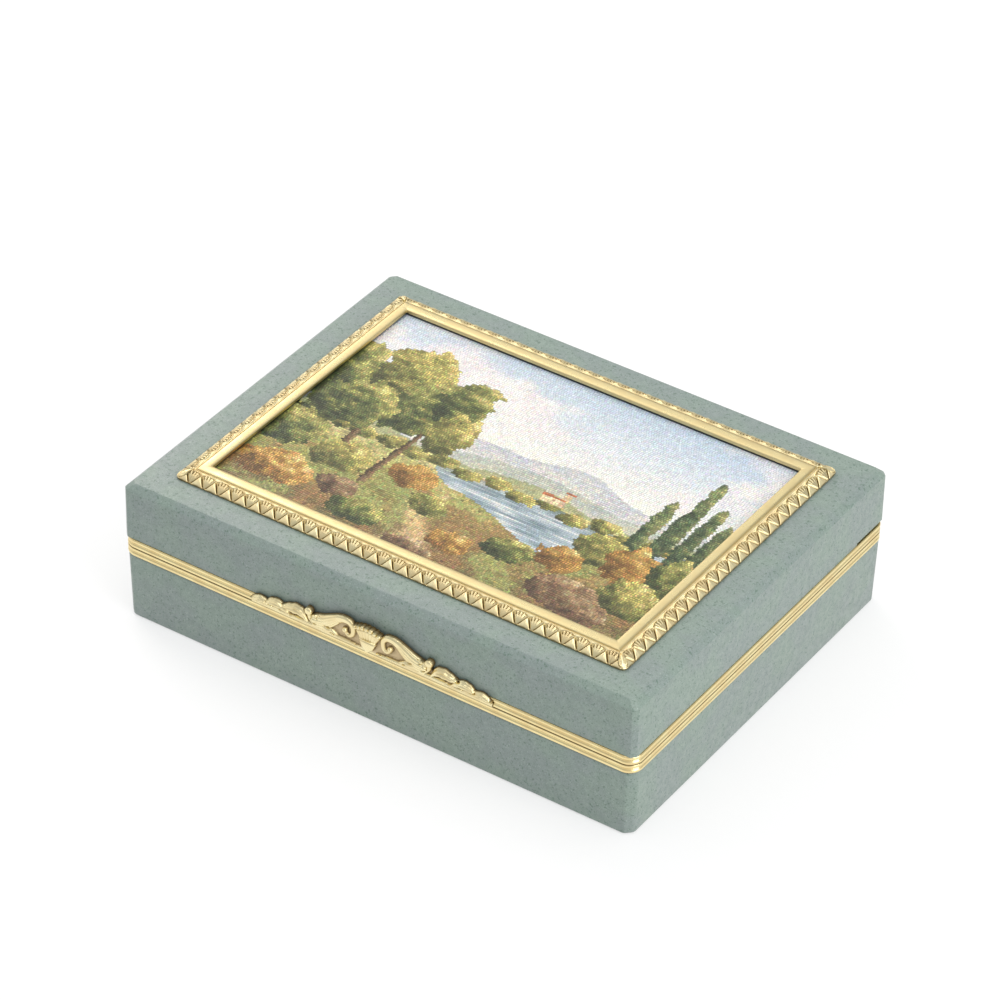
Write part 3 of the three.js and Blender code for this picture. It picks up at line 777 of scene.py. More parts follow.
def dome(distance: Array, half_width: float | Array, height: float) -> Array:
    """A round-topped height over a distance, nought outside the half width."""
    return height * np.sqrt(np.clip(1 - (distance / half_width) ** 2, 0, 1))


def lengths_along(route: Array) -> Array:
    """How far along a route each of its points lies."""
    return np.concatenate([[0], np.cumsum(np.linalg.norm(np.diff(route, axis=0), axis=1))])


def along_route(x: Array, y: Array, route: Array) -> tuple[Array, Array]:
    """Measures how far points lie from a route.

    Args:
        x: Places across.
        y: Places up.
        route: The route's points.

    Returns:
        The distances, and the nearest places' shares of the route's length.
    """
    best = np.full(x.shape, np.inf)
    share = np.zeros(x.shape)
    lengths = lengths_along(route)
    for i, (a, b) in enumerate(zip(route[:-1], route[1:])):
        step = b - a
        t = np.clip(((x - a[0]) * step[0] + (y - a[1]) * step[1]) / (step @ step), 0, 1)
        distance = np.hypot(x - a[0] - t * step[0], y - a[1] - t * step[1])
        nearer = distance < best
        best = np.where(nearer, distance, best)
        share = np.where(nearer, (lengths[i] + t * (lengths[i + 1] - lengths[i])) / lengths[-1], share)
    return best, share


def bend(start: Array, corner: Array, end: Array, share: Array) -> Array:
    """A curve from one point to another that leans towards a corner, at shares from 0 to 1."""
    return (1 - share) ** 2 * start + 2 * share * (1 - share) * corner + share ** 2 * end


def spline(points: Array, steps: int = 12) -> Array:
    """A smooth route through points.

    Args:
        points: The points.
        steps: The steps between two of them.

    Returns:
        The route's points.
    """
    given = np.array([points[0], *points, points[-1]], dtype=float)
    t = np.linspace(0, 1, steps, endpoint=False)[:, None]
    parts = []
    for p0, p1, p2, p3 in zip(given, given[1:], given[2:], given[3:]):
        parts.append(0.5 * (2 * p1 + (p2 - p0) * t + (2 * p0 - 5 * p1 + 4 * p2 - p3) * t ** 2
                            + (3 * p1 - p0 - 3 * p2 + p3) * t ** 3))
    return np.vstack([*parts, given[-1:]])


def softened(points: Sequence[Sequence[float]], radii: Sequence[float], steps: int = 3) -> Array:
    """Rounds the inner corners of a section.

    Args:
        points: The section's points, of any number of values each, with half width first and height third.
        radii: How far each corner but the first and last is cut back, in millimetres.
        steps: The steps in each rounding.

    Returns:
        The rounded section, without its first and last points.
    """
    rows = np.array(points, dtype=float)
    share = np.linspace(0, 1, steps + 1)[:, None]
    parts = []
    for before, corner, after, radius in zip(rows, rows[1:], rows[2:], radii):
        ends = []
        for other in (before, after):
            length = math.hypot(other[0] - corner[0], other[2] - corner[2])
            ends.append(corner + (other - corner) * min(0.5, radius / length))
        parts.append(bend(ends[0], corner, ends[1], share))
    return np.vstack(parts)


class Corner(Enum):
    """How an outline turns its corners."""

    CHAMFERED = "chamfered"
    ROUNDED = "rounded"


def outline(level: Sequence[float], corner: Corner, steps: int, soft: float = 0.1) -> Array:
    """The closed outline of a box at one height.

    Args:
        level: Half width, half depth, height and corner size in millimetres.
        corner: How the corners are turned.
        steps: Half the steps in each corner.
        soft: How far a chamfer's two edges are rounded.

    Returns:
        The outline's points, anticlockwise.
    """
    half_x, half_y, z, size = level
    if corner is Corner.ROUNDED:
        angles = np.linspace(0, math.pi / 2, 2 * steps + 2)
        local = np.column_stack([np.cos(angles) - 1, np.sin(angles) - 1]) * size
    else:
        share = np.linspace(0, 1, steps + 1)[:, None]
        slant = soft * math.sqrt(0.5)
        first = bend(*np.array([[0, -size - soft], [0, -size], [-slant, slant - size]]), share)
        local = np.vstack([first, first[::-1, ::-1]])
    points = []
    for turn in range(4):
        along = np.array([math.cos(turn * math.pi / 2), math.sin(turn * math.pi / 2)])
        aside = np.array([-along[1], along[0]])
        signs = np.sign(np.round(along + aside))
        points.append(signs * [half_x, half_y] + np.outer(local[:, 0], along) + np.outer(local[:, 1], aside))
    flat = np.vstack(points)
    return np.column_stack([flat, np.full(len(flat), z)])


def skin(loops: Sequence[Array], closed: bool, cavity: Sequence[float] | None = None) -> MeshData:
    """A skin over loops with the same number of points.

    Args:
        loops: The loops, in order.
        closed: Whether the last joins the first. If not, both ends are capped.
        cavity: How dark each loop lies, by painted shade and dark joint lines, or None.

    Returns:
        The skin.
    """
    count = len(loops[0])
    faces = []
    for i in range(len(loops) if closed else len(loops) - 1):
        low, high = i * count, ((i + 1) % len(loops)) * count
        faces += [(low + j, low + (j + 1) % count, high + (j + 1) % count, high + j) for j in range(count)]
    if not closed:
        faces += [tuple(reversed(range(count))), tuple(range((len(loops) - 1) * count, len(loops) * count))]
    return MeshData(np.vstack(loops), faces, {} if cavity is None else {"cavity": np.repeat(cavity, count)})


def cut(mesh: Mesh, cutters: Sequence[MeshData]) -> Mesh:
    """Cuts closed shapes out of a mesh, one after another.

    Args:
        mesh: The mesh that is cut.
        cutters: The shapes that go.

    Returns:
        The cut mesh.
    """
    holder = placed(mesh.name, mesh)
    tools = []
    for cutter in cutters:
        tool = placed("cutter", cutter.mesh("cutter", outward=True))
        modifier = holder.modifiers.new("cut", "BOOLEAN")
        modifier.solver = "EXACT"
        modifier.object = tool
        tools.append(tool)
    made = applied(holder)
    for tool in tools:
        bpy.data.objects.remove(tool)
    smooth(made)
    return made


def occlusion(heights: Array, reach: int, depth: float, wrap: bool = False) -> Array:
    """How far each place of a field lies below its neighbourhood, from nought to one.

    Args:
        heights: The field.
        reach: Half the width of the neighbourhood, in cells.
        depth: The depth that counts as one.
        wrap: Whether the field repeats across its columns.

    Returns:
        The share for each place.
    """
    padded = np.pad(heights, ((reach, reach), (0, 0)), mode="edge")
    padded = np.pad(padded, ((0, 0), (reach, reach)), mode="wrap" if wrap else "edge")
    for axis in (0, 1):
        total = np.cumsum(np.insert(padded, 0, 0, axis=axis), axis=axis)
        size = 2 * reach + 1
        low, high = np.arange(total.shape[axis] - size), np.arange(size, total.shape[axis])
        padded = (np.take(total, high, axis=axis) - np.take(total, low, axis=axis)) / size
    return np.clip((padded - heights) / depth, 0, 1)


@dataclass
class Noise:
    """Smooth repeatable noise over a plane."""

    seed: int

    def __post_init__(self) -> None:
        """Draws the lattice."""
        self.lattice = np.random.default_rng(self.seed).random((256, 256))

    def at(self, x: Array, y: Array, size: float, layers: int = 1) -> Array:
        """The noise at places.

        Args:
            x: Places across.
            y: Places up.
            size: The size of the largest features.
            layers: How many finer layers are added.

        Returns:
            Values from nought to one, about one half on average.
        """
        total, weight = np.zeros(np.shape(x)), 0.0
        for layer in range(layers):
            strength = 0.5 ** layer
            u = np.asarray(x) / size * 2 ** layer + 31.7 * layer
            v = np.asarray(y) / size * 2 ** layer + 17.3 * layer
            i, j = np.floor(u).astype(int), np.floor(v).astype(int)
            s, t = u - i, v - j
            s, t = s * s * (3 - 2 * s), t * t * (3 - 2 * t)
            low, high = (
                self.lattice[i % 256, row % 256] * (1 - s) + self.lattice[(i + 1) % 256, row % 256] * s
                for row in (j, j + 1)
            )
            total += strength * (low * (1 - t) + high * t)
            weight += strength
        return total / weight


@dataclass(frozen=True)
class Plan:
    """The box's main sizes in millimetres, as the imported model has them."""

    half_x: float
    half_y: float
    base_top: float
    joint: float
    lid_low: float
    lid_top: float
    wall: float = 3.2
    rim_proud: float = 0.22

    @classmethod
    def measured(cls) -> "Plan":
        """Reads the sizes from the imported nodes."""
        base = extent("base_stone")[1]
        lid_low, lid_high = extent("lid_stone")
        return cls(base[0], base[1], base[2], extent("lid_rim")[0][2], lid_low[2], lid_high[2])

    def loops(self, levels: Array, corner: Corner, steps: int, soft: float = 0.1) -> list[Array]:
        """Outlines of the levels of a section, which gives insets from the box's sides."""
        return [
            outline((self.half_x - inset_x, self.half_y - inset_y, z, size), corner, steps, soft)
            for inset_x, inset_y, z, size in levels
        ]


@dataclass
class Stones:
    """The hollowed stone base and lid."""

    plan: Plan
    base_chamfer: float = 1.1
    lid_chamfer: float = 0.7
    corner_soft: float = 0.4
    taper: float = 0.25
    foot_bevel: float = 0.3
    floor: float = 3.0
    well_radius: float = 3.0
    cove: float = 0.7
    mouth_bevel: Pair = (0.18, 0.28)
    top_bevel: float = 1.0
    lower_bevel: float = 0.06
    arris: float = 0.13
    pocket_inset: Pair = (8.15, 8.05)
    pocket_corner: float = 0.1
    pocket_border: float = 4.0
    pocket_depth: float = 1.8
    web: float = 2.2
    stud_places: Pair = (38.35, 27.95)
    stud_hole: float = 0.9
    relief_height: float = 0.4
    relief_depth: float = 8.0
    deep: float = 12.0
    steps: int = 4

    def base(self) -> Mesh:
        """The base: a tapered cup with a coved well."""
        plan, top = self.plan, self.plan.base_top
        middle = plan.wall / 2
        bevel, bevel_height = self.mouth_bevel
        outer = self.section([
            (self.deep, 0), (self.taper + self.foot_bevel, 0), (self.taper, self.foot_bevel),
            (0, top - bevel_height), (bevel, top), (middle, top),
        ], self.base_chamfer, [0.05, 0.1, self.arris, 0.05])
        well = [(middle, top), (plan.wall, top), (plan.wall, self.floor), (self.deep, self.floor)]
        inner = self.section(well, self.well_radius, [self.arris, self.cove])
        loops = plan.loops(outer, Corner.CHAMFERED, self.steps, self.corner_soft)
        loops += plan.loops(inner, Corner.ROUNDED, self.steps)
        return skin(loops, False).mesh("base_stone_body", outward=True)

    @staticmethod
    def section(rows: Sequence[Pair], size: float, radii: Sequence[float]) -> Array:
        """A section with softened corners.

        Args:
            rows: Insets and heights.
            size: The size of the outline's corners.
            radii: How far each corner of the section but the first and last is cut back.

        Returns:
            Its levels, as Plan.loops takes them.
        """
        return softened([(inset, inset, z, size) for inset, z in rows], radii)

    def lid(self) -> Mesh:
        """The lid: bevelled, hollowed below, with a pocket, stud holes and reliefs at the back corners."""
        plan, low, top = self.plan, self.plan.lid_low, self.plan.lid_top
        (px, py), r = self.pocket_inset, self.pocket_corner
        floor = top - self.pocket_depth
        ceiling = floor - self.web
        middle = plan.wall / 2
        pocket = [(self.deep, self.deep, floor, r), (px, py, floor, r), (px, py, top, r),
                  (self.pocket_border, self.pocket_border, top, r)]
        outer = self.section([
            (self.pocket_border, top), (self.top_bevel, top), (0, top - self.top_bevel),
            (0, low + self.lower_bevel), (self.lower_bevel, low), (middle, low),
        ], self.lid_chamfer, [self.arris, self.arris, 0.04, 0.04])
        well = [(middle, low), (plan.wall, low), (plan.wall, ceiling), (self.deep, ceiling)]
        inner = self.section(well, self.well_radius, [self.arris, self.cove])
        loops = plan.loops(softened(pocket, [0.05, 0.05]), Corner.ROUNDED, self.steps)
        loops += plan.loops(outer, Corner.CHAMFERED, self.steps)
        loops += plan.loops(inner, Corner.ROUNDED, self.steps)
        return cut(skin(loops, False).mesh("lid_stone_body", outward=True), self._cutters())

    def _cutters(self) -> list[MeshData]:
        """What is drilled and ground out of the lid."""
        plan = self.plan
        low, high = plan.lid_low + 1, plan.lid_top + 1
        rod = lathe([(0, low), (self.stud_hole, low), (self.stud_hole, high), (0, high)], 24, False)
        x, y = self.stud_places
        holes = [rod.moved(Matrix.Translation((a * x, b * y, 0))) for a in (-1, 1) for b in (-1, 1)]
        back = plan.half_y - self.relief_depth
        top = plan.lid_low + self.relief_height
        inner, outer = plan.half_x - plan.wall - 1, plan.half_x + 1
        reliefs = [box_data((min(a * inner, a * outer), back, plan.lid_low - 1),
                            (max(a * inner, a * outer), plan.half_y + 1, top)) for a in (-1, 1)]
        return holes + reliefs

    def build(self) -> None:
        """Makes both stones."""
        for body, mesh in ((Body.BASE, self.base()), (Body.LID, self.lid())):
            node = f"{body.value}_stone"
            settle(piece(f"{node}_body", mesh, StoneFinish()), body, "stone", node)


@dataclass
class Rims:
    """The two reeded gold rims that meet at the joint, with the lip that locates the lid."""

    plan: Plan
    height: float = 1.5
    corner_radius: float = 2.0
    inner_radius: float = 6.2
    hollow: float = 0.06
    ridge_place: float = 0.215
    ridge_half: float = 0.185
    reeds: int = 2
    reed_half_span: float = 0.11
    reed_height: float = 0.05
    edge_dark: float = 0.07
    valley_shade: float = 0.14
    valley_width: float = 0.025
    samples: int = 44
    lip_height: float = 1.2
    lip_inset: float = 2.4
    lip_thickness: float = 0.6
    lip_ease: float = 0.2
    lid_inset: float = 2.1
    steps: int = 7
    channel_half: float = 38.15
    channel_back: float = 32.3
    channel_half_height: float = 1.15
    axis_y: float = 33.75

    def face(self, low: float) -> list[Row]:
        """The outer face from a height upwards: a ridge, a hollow with fine reeds, and a second ridge.

        Args:
            low: Where it starts.

        Returns:
            Its levels.
        """
        share = np.linspace(0, 1, self.samples)
        mirrored = np.minimum(share, 1 - share)
        ridge = dome(mirrored - self.ridge_place, self.ridge_half, self.plan.rim_proud - self.hollow)
        middle = (share - 0.5) / self.reed_half_span
        reed = self.reed_height * np.abs(np.cos(middle * math.pi * self.reeds / 2)) * (np.abs(middle) < 1)
        out = self.hollow + np.maximum(ridge, reed)
        z = low + share * self.height
        return [(-o, -o, h, self.corner_radius + o) for o, h in zip(out, z)]

    def cavity(self, others: int, upper: float) -> Array:
        """How dark the levels of a rim lie: the joint line and painted shadow at its edges, painted shade
        beside its ridges.

        Args:
            others: How many levels follow the outer face.
            upper: How dark the upper edge is.

        Returns:
            A value for each level.
        """
        share = np.linspace(0, 1, self.samples)
        mirrored = np.minimum(share, 1 - share)
        # Dark edges: the joint line where the rims meet, and painted shadow where a rim meets the stone.
        edge = np.clip(1.4 - mirrored / self.edge_dark, 0, 1) * np.where(share < 0.5, 1, upper)
        # Painted shade in the crease at the foot of each ridge.
        beside = (mirrored - self.ridge_place - self.ridge_half) / self.valley_width
        valley = self.valley_shade * np.exp(-beside ** 2)
        return np.concatenate([np.maximum(edge, valley), np.zeros(others)])

    def inside(self, rows: Sequence[Pair]) -> list[Row]:
        """Levels of a rim's inner side from insets and heights, concentric with the wells at its corners."""
        return [(inset, inset, z, self.inner_radius - inset) for inset, z in rows]

    def cutters(self) -> list[MeshData]:
        """The hinge's channel, and the notch behind its axis that lets the corners pass."""
        joint = self.plan.joint
        channel = box_data((-self.channel_half, self.channel_back, joint - self.channel_half_height),
                           (self.channel_half, self.plan.half_y + 1, joint + self.channel_half_height))
        reach = self.plan.half_y + self.plan.rim_proud + 1 - self.axis_y
        rise = reach * self.channel_half_height / (reach - 1)
        ends = self.plan.half_x + 1
        wedge = [(0, 0), (reach, -rise), (reach, rise)]
        points = [(x, self.axis_y + a, joint + b) for x in (-ends, ends) for a, b in wedge]
        notch = MeshData(np.array(points), [(0, 1, 2), (3, 5, 4), (0, 3, 4, 1), (1, 4, 5, 2), (2, 5, 3, 0)])
        return [channel, notch]

    def ring(self, name: str, levels: Sequence[Sequence[float]], upper: float) -> Mesh:
        """A rim from its section, with the hinge's room cut out."""
        loops = self.plan.loops(np.array(levels), Corner.ROUNDED, self.steps)
        cavity = self.cavity(len(levels) - self.samples, upper)
        return cut(skin(loops, True, cavity).mesh(name, outward=True), self.cutters())

    def build(self) -> None:
        """Makes both rims."""
        plan, joint, lip, ease = self.plan, self.plan.joint, self.lip_inset, self.lip_ease
        top, inner = joint + self.lip_height, lip + self.lip_thickness
        base = self.face(plan.base_top) + self.inside([
            (lip, joint), (lip, top - ease), (lip + ease * 0.3, top - ease * 0.3), (lip + ease, top),
            (inner, top), (inner, joint), (plan.wall, joint), (plan.wall, plan.base_top),
        ])
        lid = self.face(joint) + self.inside([(self.lid_inset, plan.lid_low), (self.lid_inset, joint)])
        finish = GoldFinish("reeded_rim_gold", linear(252, 234, 176), linear(244, 216, 156))
        for body, levels, upper in ((Body.BASE, base, 1.0), (Body.LID, lid, 0.15)):
            node = f"{body.value}_rim"
            name = f"{node}_reeded"
            settle(piece(name, self.ring(name, levels, upper), finish), body, "gold", node)


@dataclass
class Hinge:
    """Nine knuckles along the back, in turn on the base and the lid, with their pin."""

    plan: Plan
    axis_y: float = 33.75
    length: float = 76.0
    count: int = 9
    gap: float = 0.15
    radius: float = 1.1
    bore: float = 0.6
    foot_half: float = 0.75
    foot_drop: float = 1.15
    pin_radius: float = 0.45
    cap_radius: float = 0.5
    cap_length: float = 0.7
    edge: float = 0.07
    sides: int = 48

    @property
    def knuckle_length(self) -> float:
        """The length of one knuckle."""
        return (self.length - (self.count - 1) * self.gap) / self.count

    def knuckle(self, body: Body) -> Mesh:
        """One knuckle about the middle of the hinge, its foot on its own rim.

        Args:
            body: The body that it belongs to, below the axis or above it.

        Returns:
            Its mesh.
        """
        angles = np.arange(self.sides) * 2 * math.pi / self.sides + math.pi / self.sides
        c, s = np.cos(angles), np.sin(angles)
        towards = -s if body is Body.BASE else s
        least = 1e-6
        to_side = self.foot_half / np.maximum(np.abs(c), least)
        to_foot = np.minimum(to_side, self.foot_drop / np.maximum(towards, least))
        outer = np.maximum(self.radius, np.where(towards > least, to_foot, 0))
        bore, wide = np.full(self.sides, self.bore), np.full(self.sides, self.bore + self.edge)
        half, eased = self.knuckle_length / 2, outer - self.edge
        inner_half = half - self.edge
        stations = [(-half, wide), (-half, eased), (-inner_half, outer), (inner_half, outer), (half, eased),
                    (half, wide), (inner_half, bore), (-inner_half, bore)]
        loops = [
            np.column_stack([np.full(self.sides, x), self.axis_y + reach * c, self.plan.joint + reach * s])
            for x, reach in stations
        ]
        return skin(loops, True).mesh("knuckle", outward=True)

    def rod(self, low: float, high: float, radius: float) -> MeshData:
        """A turned rod along the axis with eased ends.

        Args:
            low: Where it starts.
            high: Where it ends.
            radius: Its radius.

        Returns:
            The rod, in place.
        """
        inner, rise, fall = radius - self.edge, low + self.edge, high - self.edge
        profile = [(0, low), (inner, low), (radius, rise), (radius, fall), (inner, high), (0, high)]
        turned = lathe(profile, 32, False).moved(Matrix.Rotation(math.pi / 2, 4, "Y"))
        return turned.moved(Matrix.Translation((0, self.axis_y, self.plan.joint)))

    def build(self) -> None:
        """Makes the knuckles and the pin."""
        finish = GoldFinish()
        rows = row_tree()
        for body, count in ((Body.BASE, (self.count + 1) // 2), (Body.LID, self.count // 2)):
            pitch = 2 * (self.knuckle_length + self.gap) * MM
            values = {"Count": count, "Pitch": pitch, "Material": finish.material()}
            mesh = rows.grow(self.knuckle(body), values)
            smooth(mesh)
            nodes = [f"{body.value}_knuckle_{i + 1}" for i in range(count)]
            settle(piece(f"{body.value}_hinge_knuckles", mesh), body, "gold", *nodes)
        half, inner = self.length / 2, self.length / 2 - self.cap_length
        pin = self.rod(self.gap - inner, inner - self.gap, self.pin_radius)
        for low, high in ((-half, -inner), (inner, half)):
            pin = pin.joined(self.rod(low, high, self.cap_radius))
        made = piece("hinge_pin_rod", pin.mesh("hinge_pin_rod", outward=True), finish)
        settle(made, Body.BASE, "gold", "hinge_pin", "pin_cap_left", "pin_cap_right")


@dataclass
class LeafBorder:
    """The chased border: smooth leaves and palmettes in turn between long corner leaves."""

    half_x: float = 39.5
    half_y: float = 29.1
    foot: float = 24.45
    width: float = 2.3
    outer_height: float = 0.12
    shoulder: float = 1.75
    inner_height: float = 1.13
    edge_height: float = 0.05
    edge_width: float = 0.3
    corner: float = 2.7
    corner_radius: float = 1.0
    motifs: tuple[int, int] = (28, 19)
    pitch: float = 2.65
    columns: int = 48
    rows: int = 36
    palmette_foot: float = 0.08
    palmette_half: float = 1.16
    palmette_top: float = 1.3
    palmette_curve: float = 0.9
    fan_root: float = 0.35
    fan_reach: float = 2.1
    fingers: int = 5
    fan_angle: float = 0.62
    slit_start: float = 1.35
    slit_depth: float = 0.24
    groove: float = 0.34
    groove_half: float = 0.14
    # Strengths of painted shade in the grooves, under the outer edge, in the recesses, under the border and
    # on its walls; fan_dark is a darker tone over the palmettes.
    groove_shade: float = 0.44
    fan_dark: float = 0.3
    lip_shadow: float = 0.4
    hollow_shade: float = 0.8
    hollow_reach: int = 3
    hollow_depth: float = 0.13
    under_shade: float = 0.7
    edge_dark: float = 0.5
    pit_size: float = 0.16
    ledge_line: float = 2.12
    leaf_ends: Pair = (0.5, 3.15)
    leaf_broad: float = 1.3
    leaf_half: float = 0.62

    def slope(self, inward: Array) -> Array:
        """The height of the border's ground line, which swells inwards from a thin rounded edge."""
        swell = 1 - np.clip(1 - inward / self.shoulder, 0, 1) ** 1.8
        rise = self.outer_height + (self.inner_height - self.outer_height) * swell
        drop = np.clip(1 - inward / self.edge_width, 0, 1) ** 2
        return rise - (self.outer_height - self.edge_height) * drop

    def edge(self, inward: Array) -> Array:
        """The half width of a palmette."""
        share = np.clip(inward / self.palmette_top, 0, 1) ** self.palmette_curve
        return self.palmette_foot + (self.palmette_half - self.palmette_foot) * share

    def shade(self, across: Array, inward: Array) -> Array:
        """Painted shade in the grooves beside a palmette, painted shadow under the outer edge, and a darker
        tone over the palmette.

        Args:
            across: The distance along the border from the palmette's middle.
            inward: The distance from the outer edge.

        Returns:
            How dark each place is.
        """
        aside = np.abs(across) - self.edge(inward)
        # Painted shade along the grooves beside the palmette.
        groove = self.groove_shade * np.exp(-(aside / self.groove_half) ** 2) * (inward < self.palmette_top)
        on_fan = np.hypot(across, inward + self.fan_root) < self.fan_reach
        fan = self.fan_dark * np.clip(-aside / 0.15, 0, 1) * on_fan
        # Painted shadow along the outer edge is added to the rest.
        return np.maximum(groove, fan) + self.lip_shadow * np.clip(1 - inward / 0.1, 0, 1)

    def motif(self, across: Array, inward: Array) -> Array:
        """The relief of a leaf and half palmettes.

        Args:
            across: The distance along the border from the nearest palmette's middle.
            inward: The distance from the outer edge.

        Returns:
            Heights against the ground line.
        """
        across = np.abs(across)
        rise = np.clip(inward / self.palmette_top, 0, 1)
        edge = self.edge(inward)
        root = inward + self.fan_root
        turn, reach = np.arctan2(across, root), np.hypot(across, root)
        finger = np.abs(np.cos(turn / self.fan_angle * math.pi * self.fingers / 2 * 0.9))
        slit = (1 - finger) ** 2 * np.clip((reach - self.slit_start) / 0.3, 0, 1)
        tip = self.fan_reach - 0.14 * (1 - finger) - 0.1 * np.clip(turn / self.fan_angle, 0, 1) ** 2
        palmette = -0.06 + 0.06 * finger * rise - self.slit_depth * slit
        palmette = palmette - self.slit_depth * np.clip((reach - tip) / 0.05, 0, 1)
        half_leaf = np.maximum(self.pitch / 2 - edge, 0.05)
        fold = np.clip((self.pitch / 2 - across) / half_leaf, 0, 1)
        leaf = 0.03 - 0.17 * fold ** 0.85
        leaf = leaf - 0.2 * np.clip((inward - self.palmette_top - 0.1) / 0.08, 0, 1)
        height = np.where(across < edge, palmette, leaf)
        side = np.exp(-((across - edge) / self.groove_half) ** 2) * (inward < self.palmette_top)
        height = height - self.groove * side * np.clip(inward / 0.25, 0.2, 1)
        swag = np.hypot(across * 0.86, root) - (self.fan_reach + 0.15)
        height = np.maximum(height, np.where(inward > 1.1, -0.22 + dome(swag, 0.1, 0.2), -1))
        ledge = -0.12 - 0.05 * np.exp(-((inward - self.ledge_line) / 0.04) ** 2)
        return np.where((swag > 0.06) & (inward > 1.3), np.maximum(height, ledge), height)

    def corner_relief(self, x: Array, y: Array) -> Array:
        """The relief of a corner: a long leaf on the mitre over the border's own motif.

        Args:
            x: The distance from one outer edge.
            y: The distance from the other.

        Returns:
            Heights against the ground line.
        """
        inward = np.minimum(x, y)
        height = self.motif(self.corner - np.maximum(x, y), inward)
        along, aside = (x + y) * math.sqrt(0.5), np.abs(x - y) * math.sqrt(0.5)
        start, end = self.leaf_ends
        back = np.clip((self.leaf_broad - along) / (self.leaf_broad - start), 0, 1)
        fore = np.clip((along - self.leaf_broad) / (end - self.leaf_broad), 0, 1)
        half = np.maximum(self.leaf_half * np.sqrt(1 - back ** 2) * (1 - fore ** 1.5), 0.03)
        outside = aside - half
        inside = np.where((along > start) & (along < end), outside, 1.0)
        pits = Noise(5).at(x, y, self.pit_size)
        rim = 0.06 - 0.14 * np.clip((-inside - 0.1) / 0.08, 0, 1) - 0.05 * pits * (inside < -0.15)
        height = height - self.groove * np.exp(-(np.maximum(inside, 0) / 0.07) ** 2) * (inside < 0.3)
        return np.where(inside < 0, rim, height)

    def strip_skin(self) -> MeshData:
        """One pitch of the border, open at both ends, its outer edge on Y = 0 and its middle on X = 0."""
        across = np.linspace(0, self.pitch, self.columns + 1)
        up = np.concatenate([[0, 0.05], np.linspace(0.13, self.width, self.rows - 1)])
        x, y = np.meshgrid(across, up)
        folded = np.minimum(x, self.pitch - x)
        heights = np.maximum(self.slope(y) + self.motif(folded, y), self.edge_height)
        # Painted shade: the relief's recesses darken by how far they lie below their neighbourhood, and the
        # shade method adds the grooves and the outer edge.
        shade_in_hollows = occlusion(heights[:, :-1], self.hollow_reach, self.hollow_depth, wrap=True)
        shade_in_hollows = np.column_stack([shade_in_hollows, shade_in_hollows[:, :1]])
        shade_in_hollows = np.clip(self.hollow_shade * shade_in_hollows + self.shade(folded, y), 0, 1)
        rows, columns = heights.shape
        top = np.column_stack([x.ravel() - self.pitch / 2, y.ravel(), heights.ravel()])
        under = np.array([[t - self.pitch / 2, s, 0] for s in (0, self.width) for t in across])
        last, front, back = (row * columns for row in (rows - 1, rows, rows + 1))
        ends = ((front, 0), (last, back), (back, front))
        pairs = [(row, row + columns, c) for row in range(0, last, columns) for c in range(columns - 1)]
        pairs += [(*rails, c) for c in range(columns - 1) for rails in ends]
        faces = [(low + c, low + c + 1, high + c + 1, high + c) for low, high, c in pairs]
        # The underside's vertices carry painted shade, which darkens the border's outer and inner walls.
        cavity = np.concatenate([shade_in_hollows.ravel(), np.full(len(under), self.under_shade)])
        return MeshData(np.vstack([top, under]), faces, {"cavity": cavity})

    def corner_piece(self) -> MeshData:
        """The corner's leaf with the border round it, its outer corner at the origin."""
        within = np.linspace(0.12, self.width, 34)
        places = np.concatenate([[0, 0.05], within, self.width + np.array([0.1, 0.2]), [self.corner]])
        x, y = np.meshgrid(places, places)
        r = self.corner_radius
        u, v = np.clip(1 - x / r, 0, 1), np.clip(1 - y / r, 0, 1)
        bent_x, bent_y = r * (1 - u * np.sqrt(1 - v ** 2 / 2)), r * (1 - v * np.sqrt(1 - u ** 2 / 2))
        inner = (x < r) & (y < r)
        x, y = np.where(inner, bent_x, x), np.where(inner, bent_y, y)
        gap = np.where(inner, r - np.hypot(r - x, r - y), np.minimum(x, y))
        heights = self.slope(np.minimum(gap, np.minimum(x, y))) + self.corner_relief(x, y)
        heights = np.maximum(heights, self.edge_height)
        middle = (places[:-1] + places[1:]) / 2
        cells_x, cells_y = np.meshgrid(middle, middle)
        inside = ~((cells_x > self.width) & (cells_y > self.width))
        # Painted shade in the recesses, the grooves and along the outer edge, and on the plate's walls by
        # edge_dark.
        shade = self.shade(self.corner - np.maximum(x, y), np.minimum(x, y))
        shade_in_hollows = occlusion(heights, self.hollow_reach, self.hollow_depth)
        values = {"cavity": np.clip(self.hollow_shade * shade_in_hollows + shade, 0, 1)}
        made = Field(places, places, heights, values, inside, edge_dark=self.edge_dark).plate()
        used = corner_mask(inside)
        made.vertices[:, :2] = np.tile(np.column_stack([x[used], y[used]]), (2, 1))
        return made

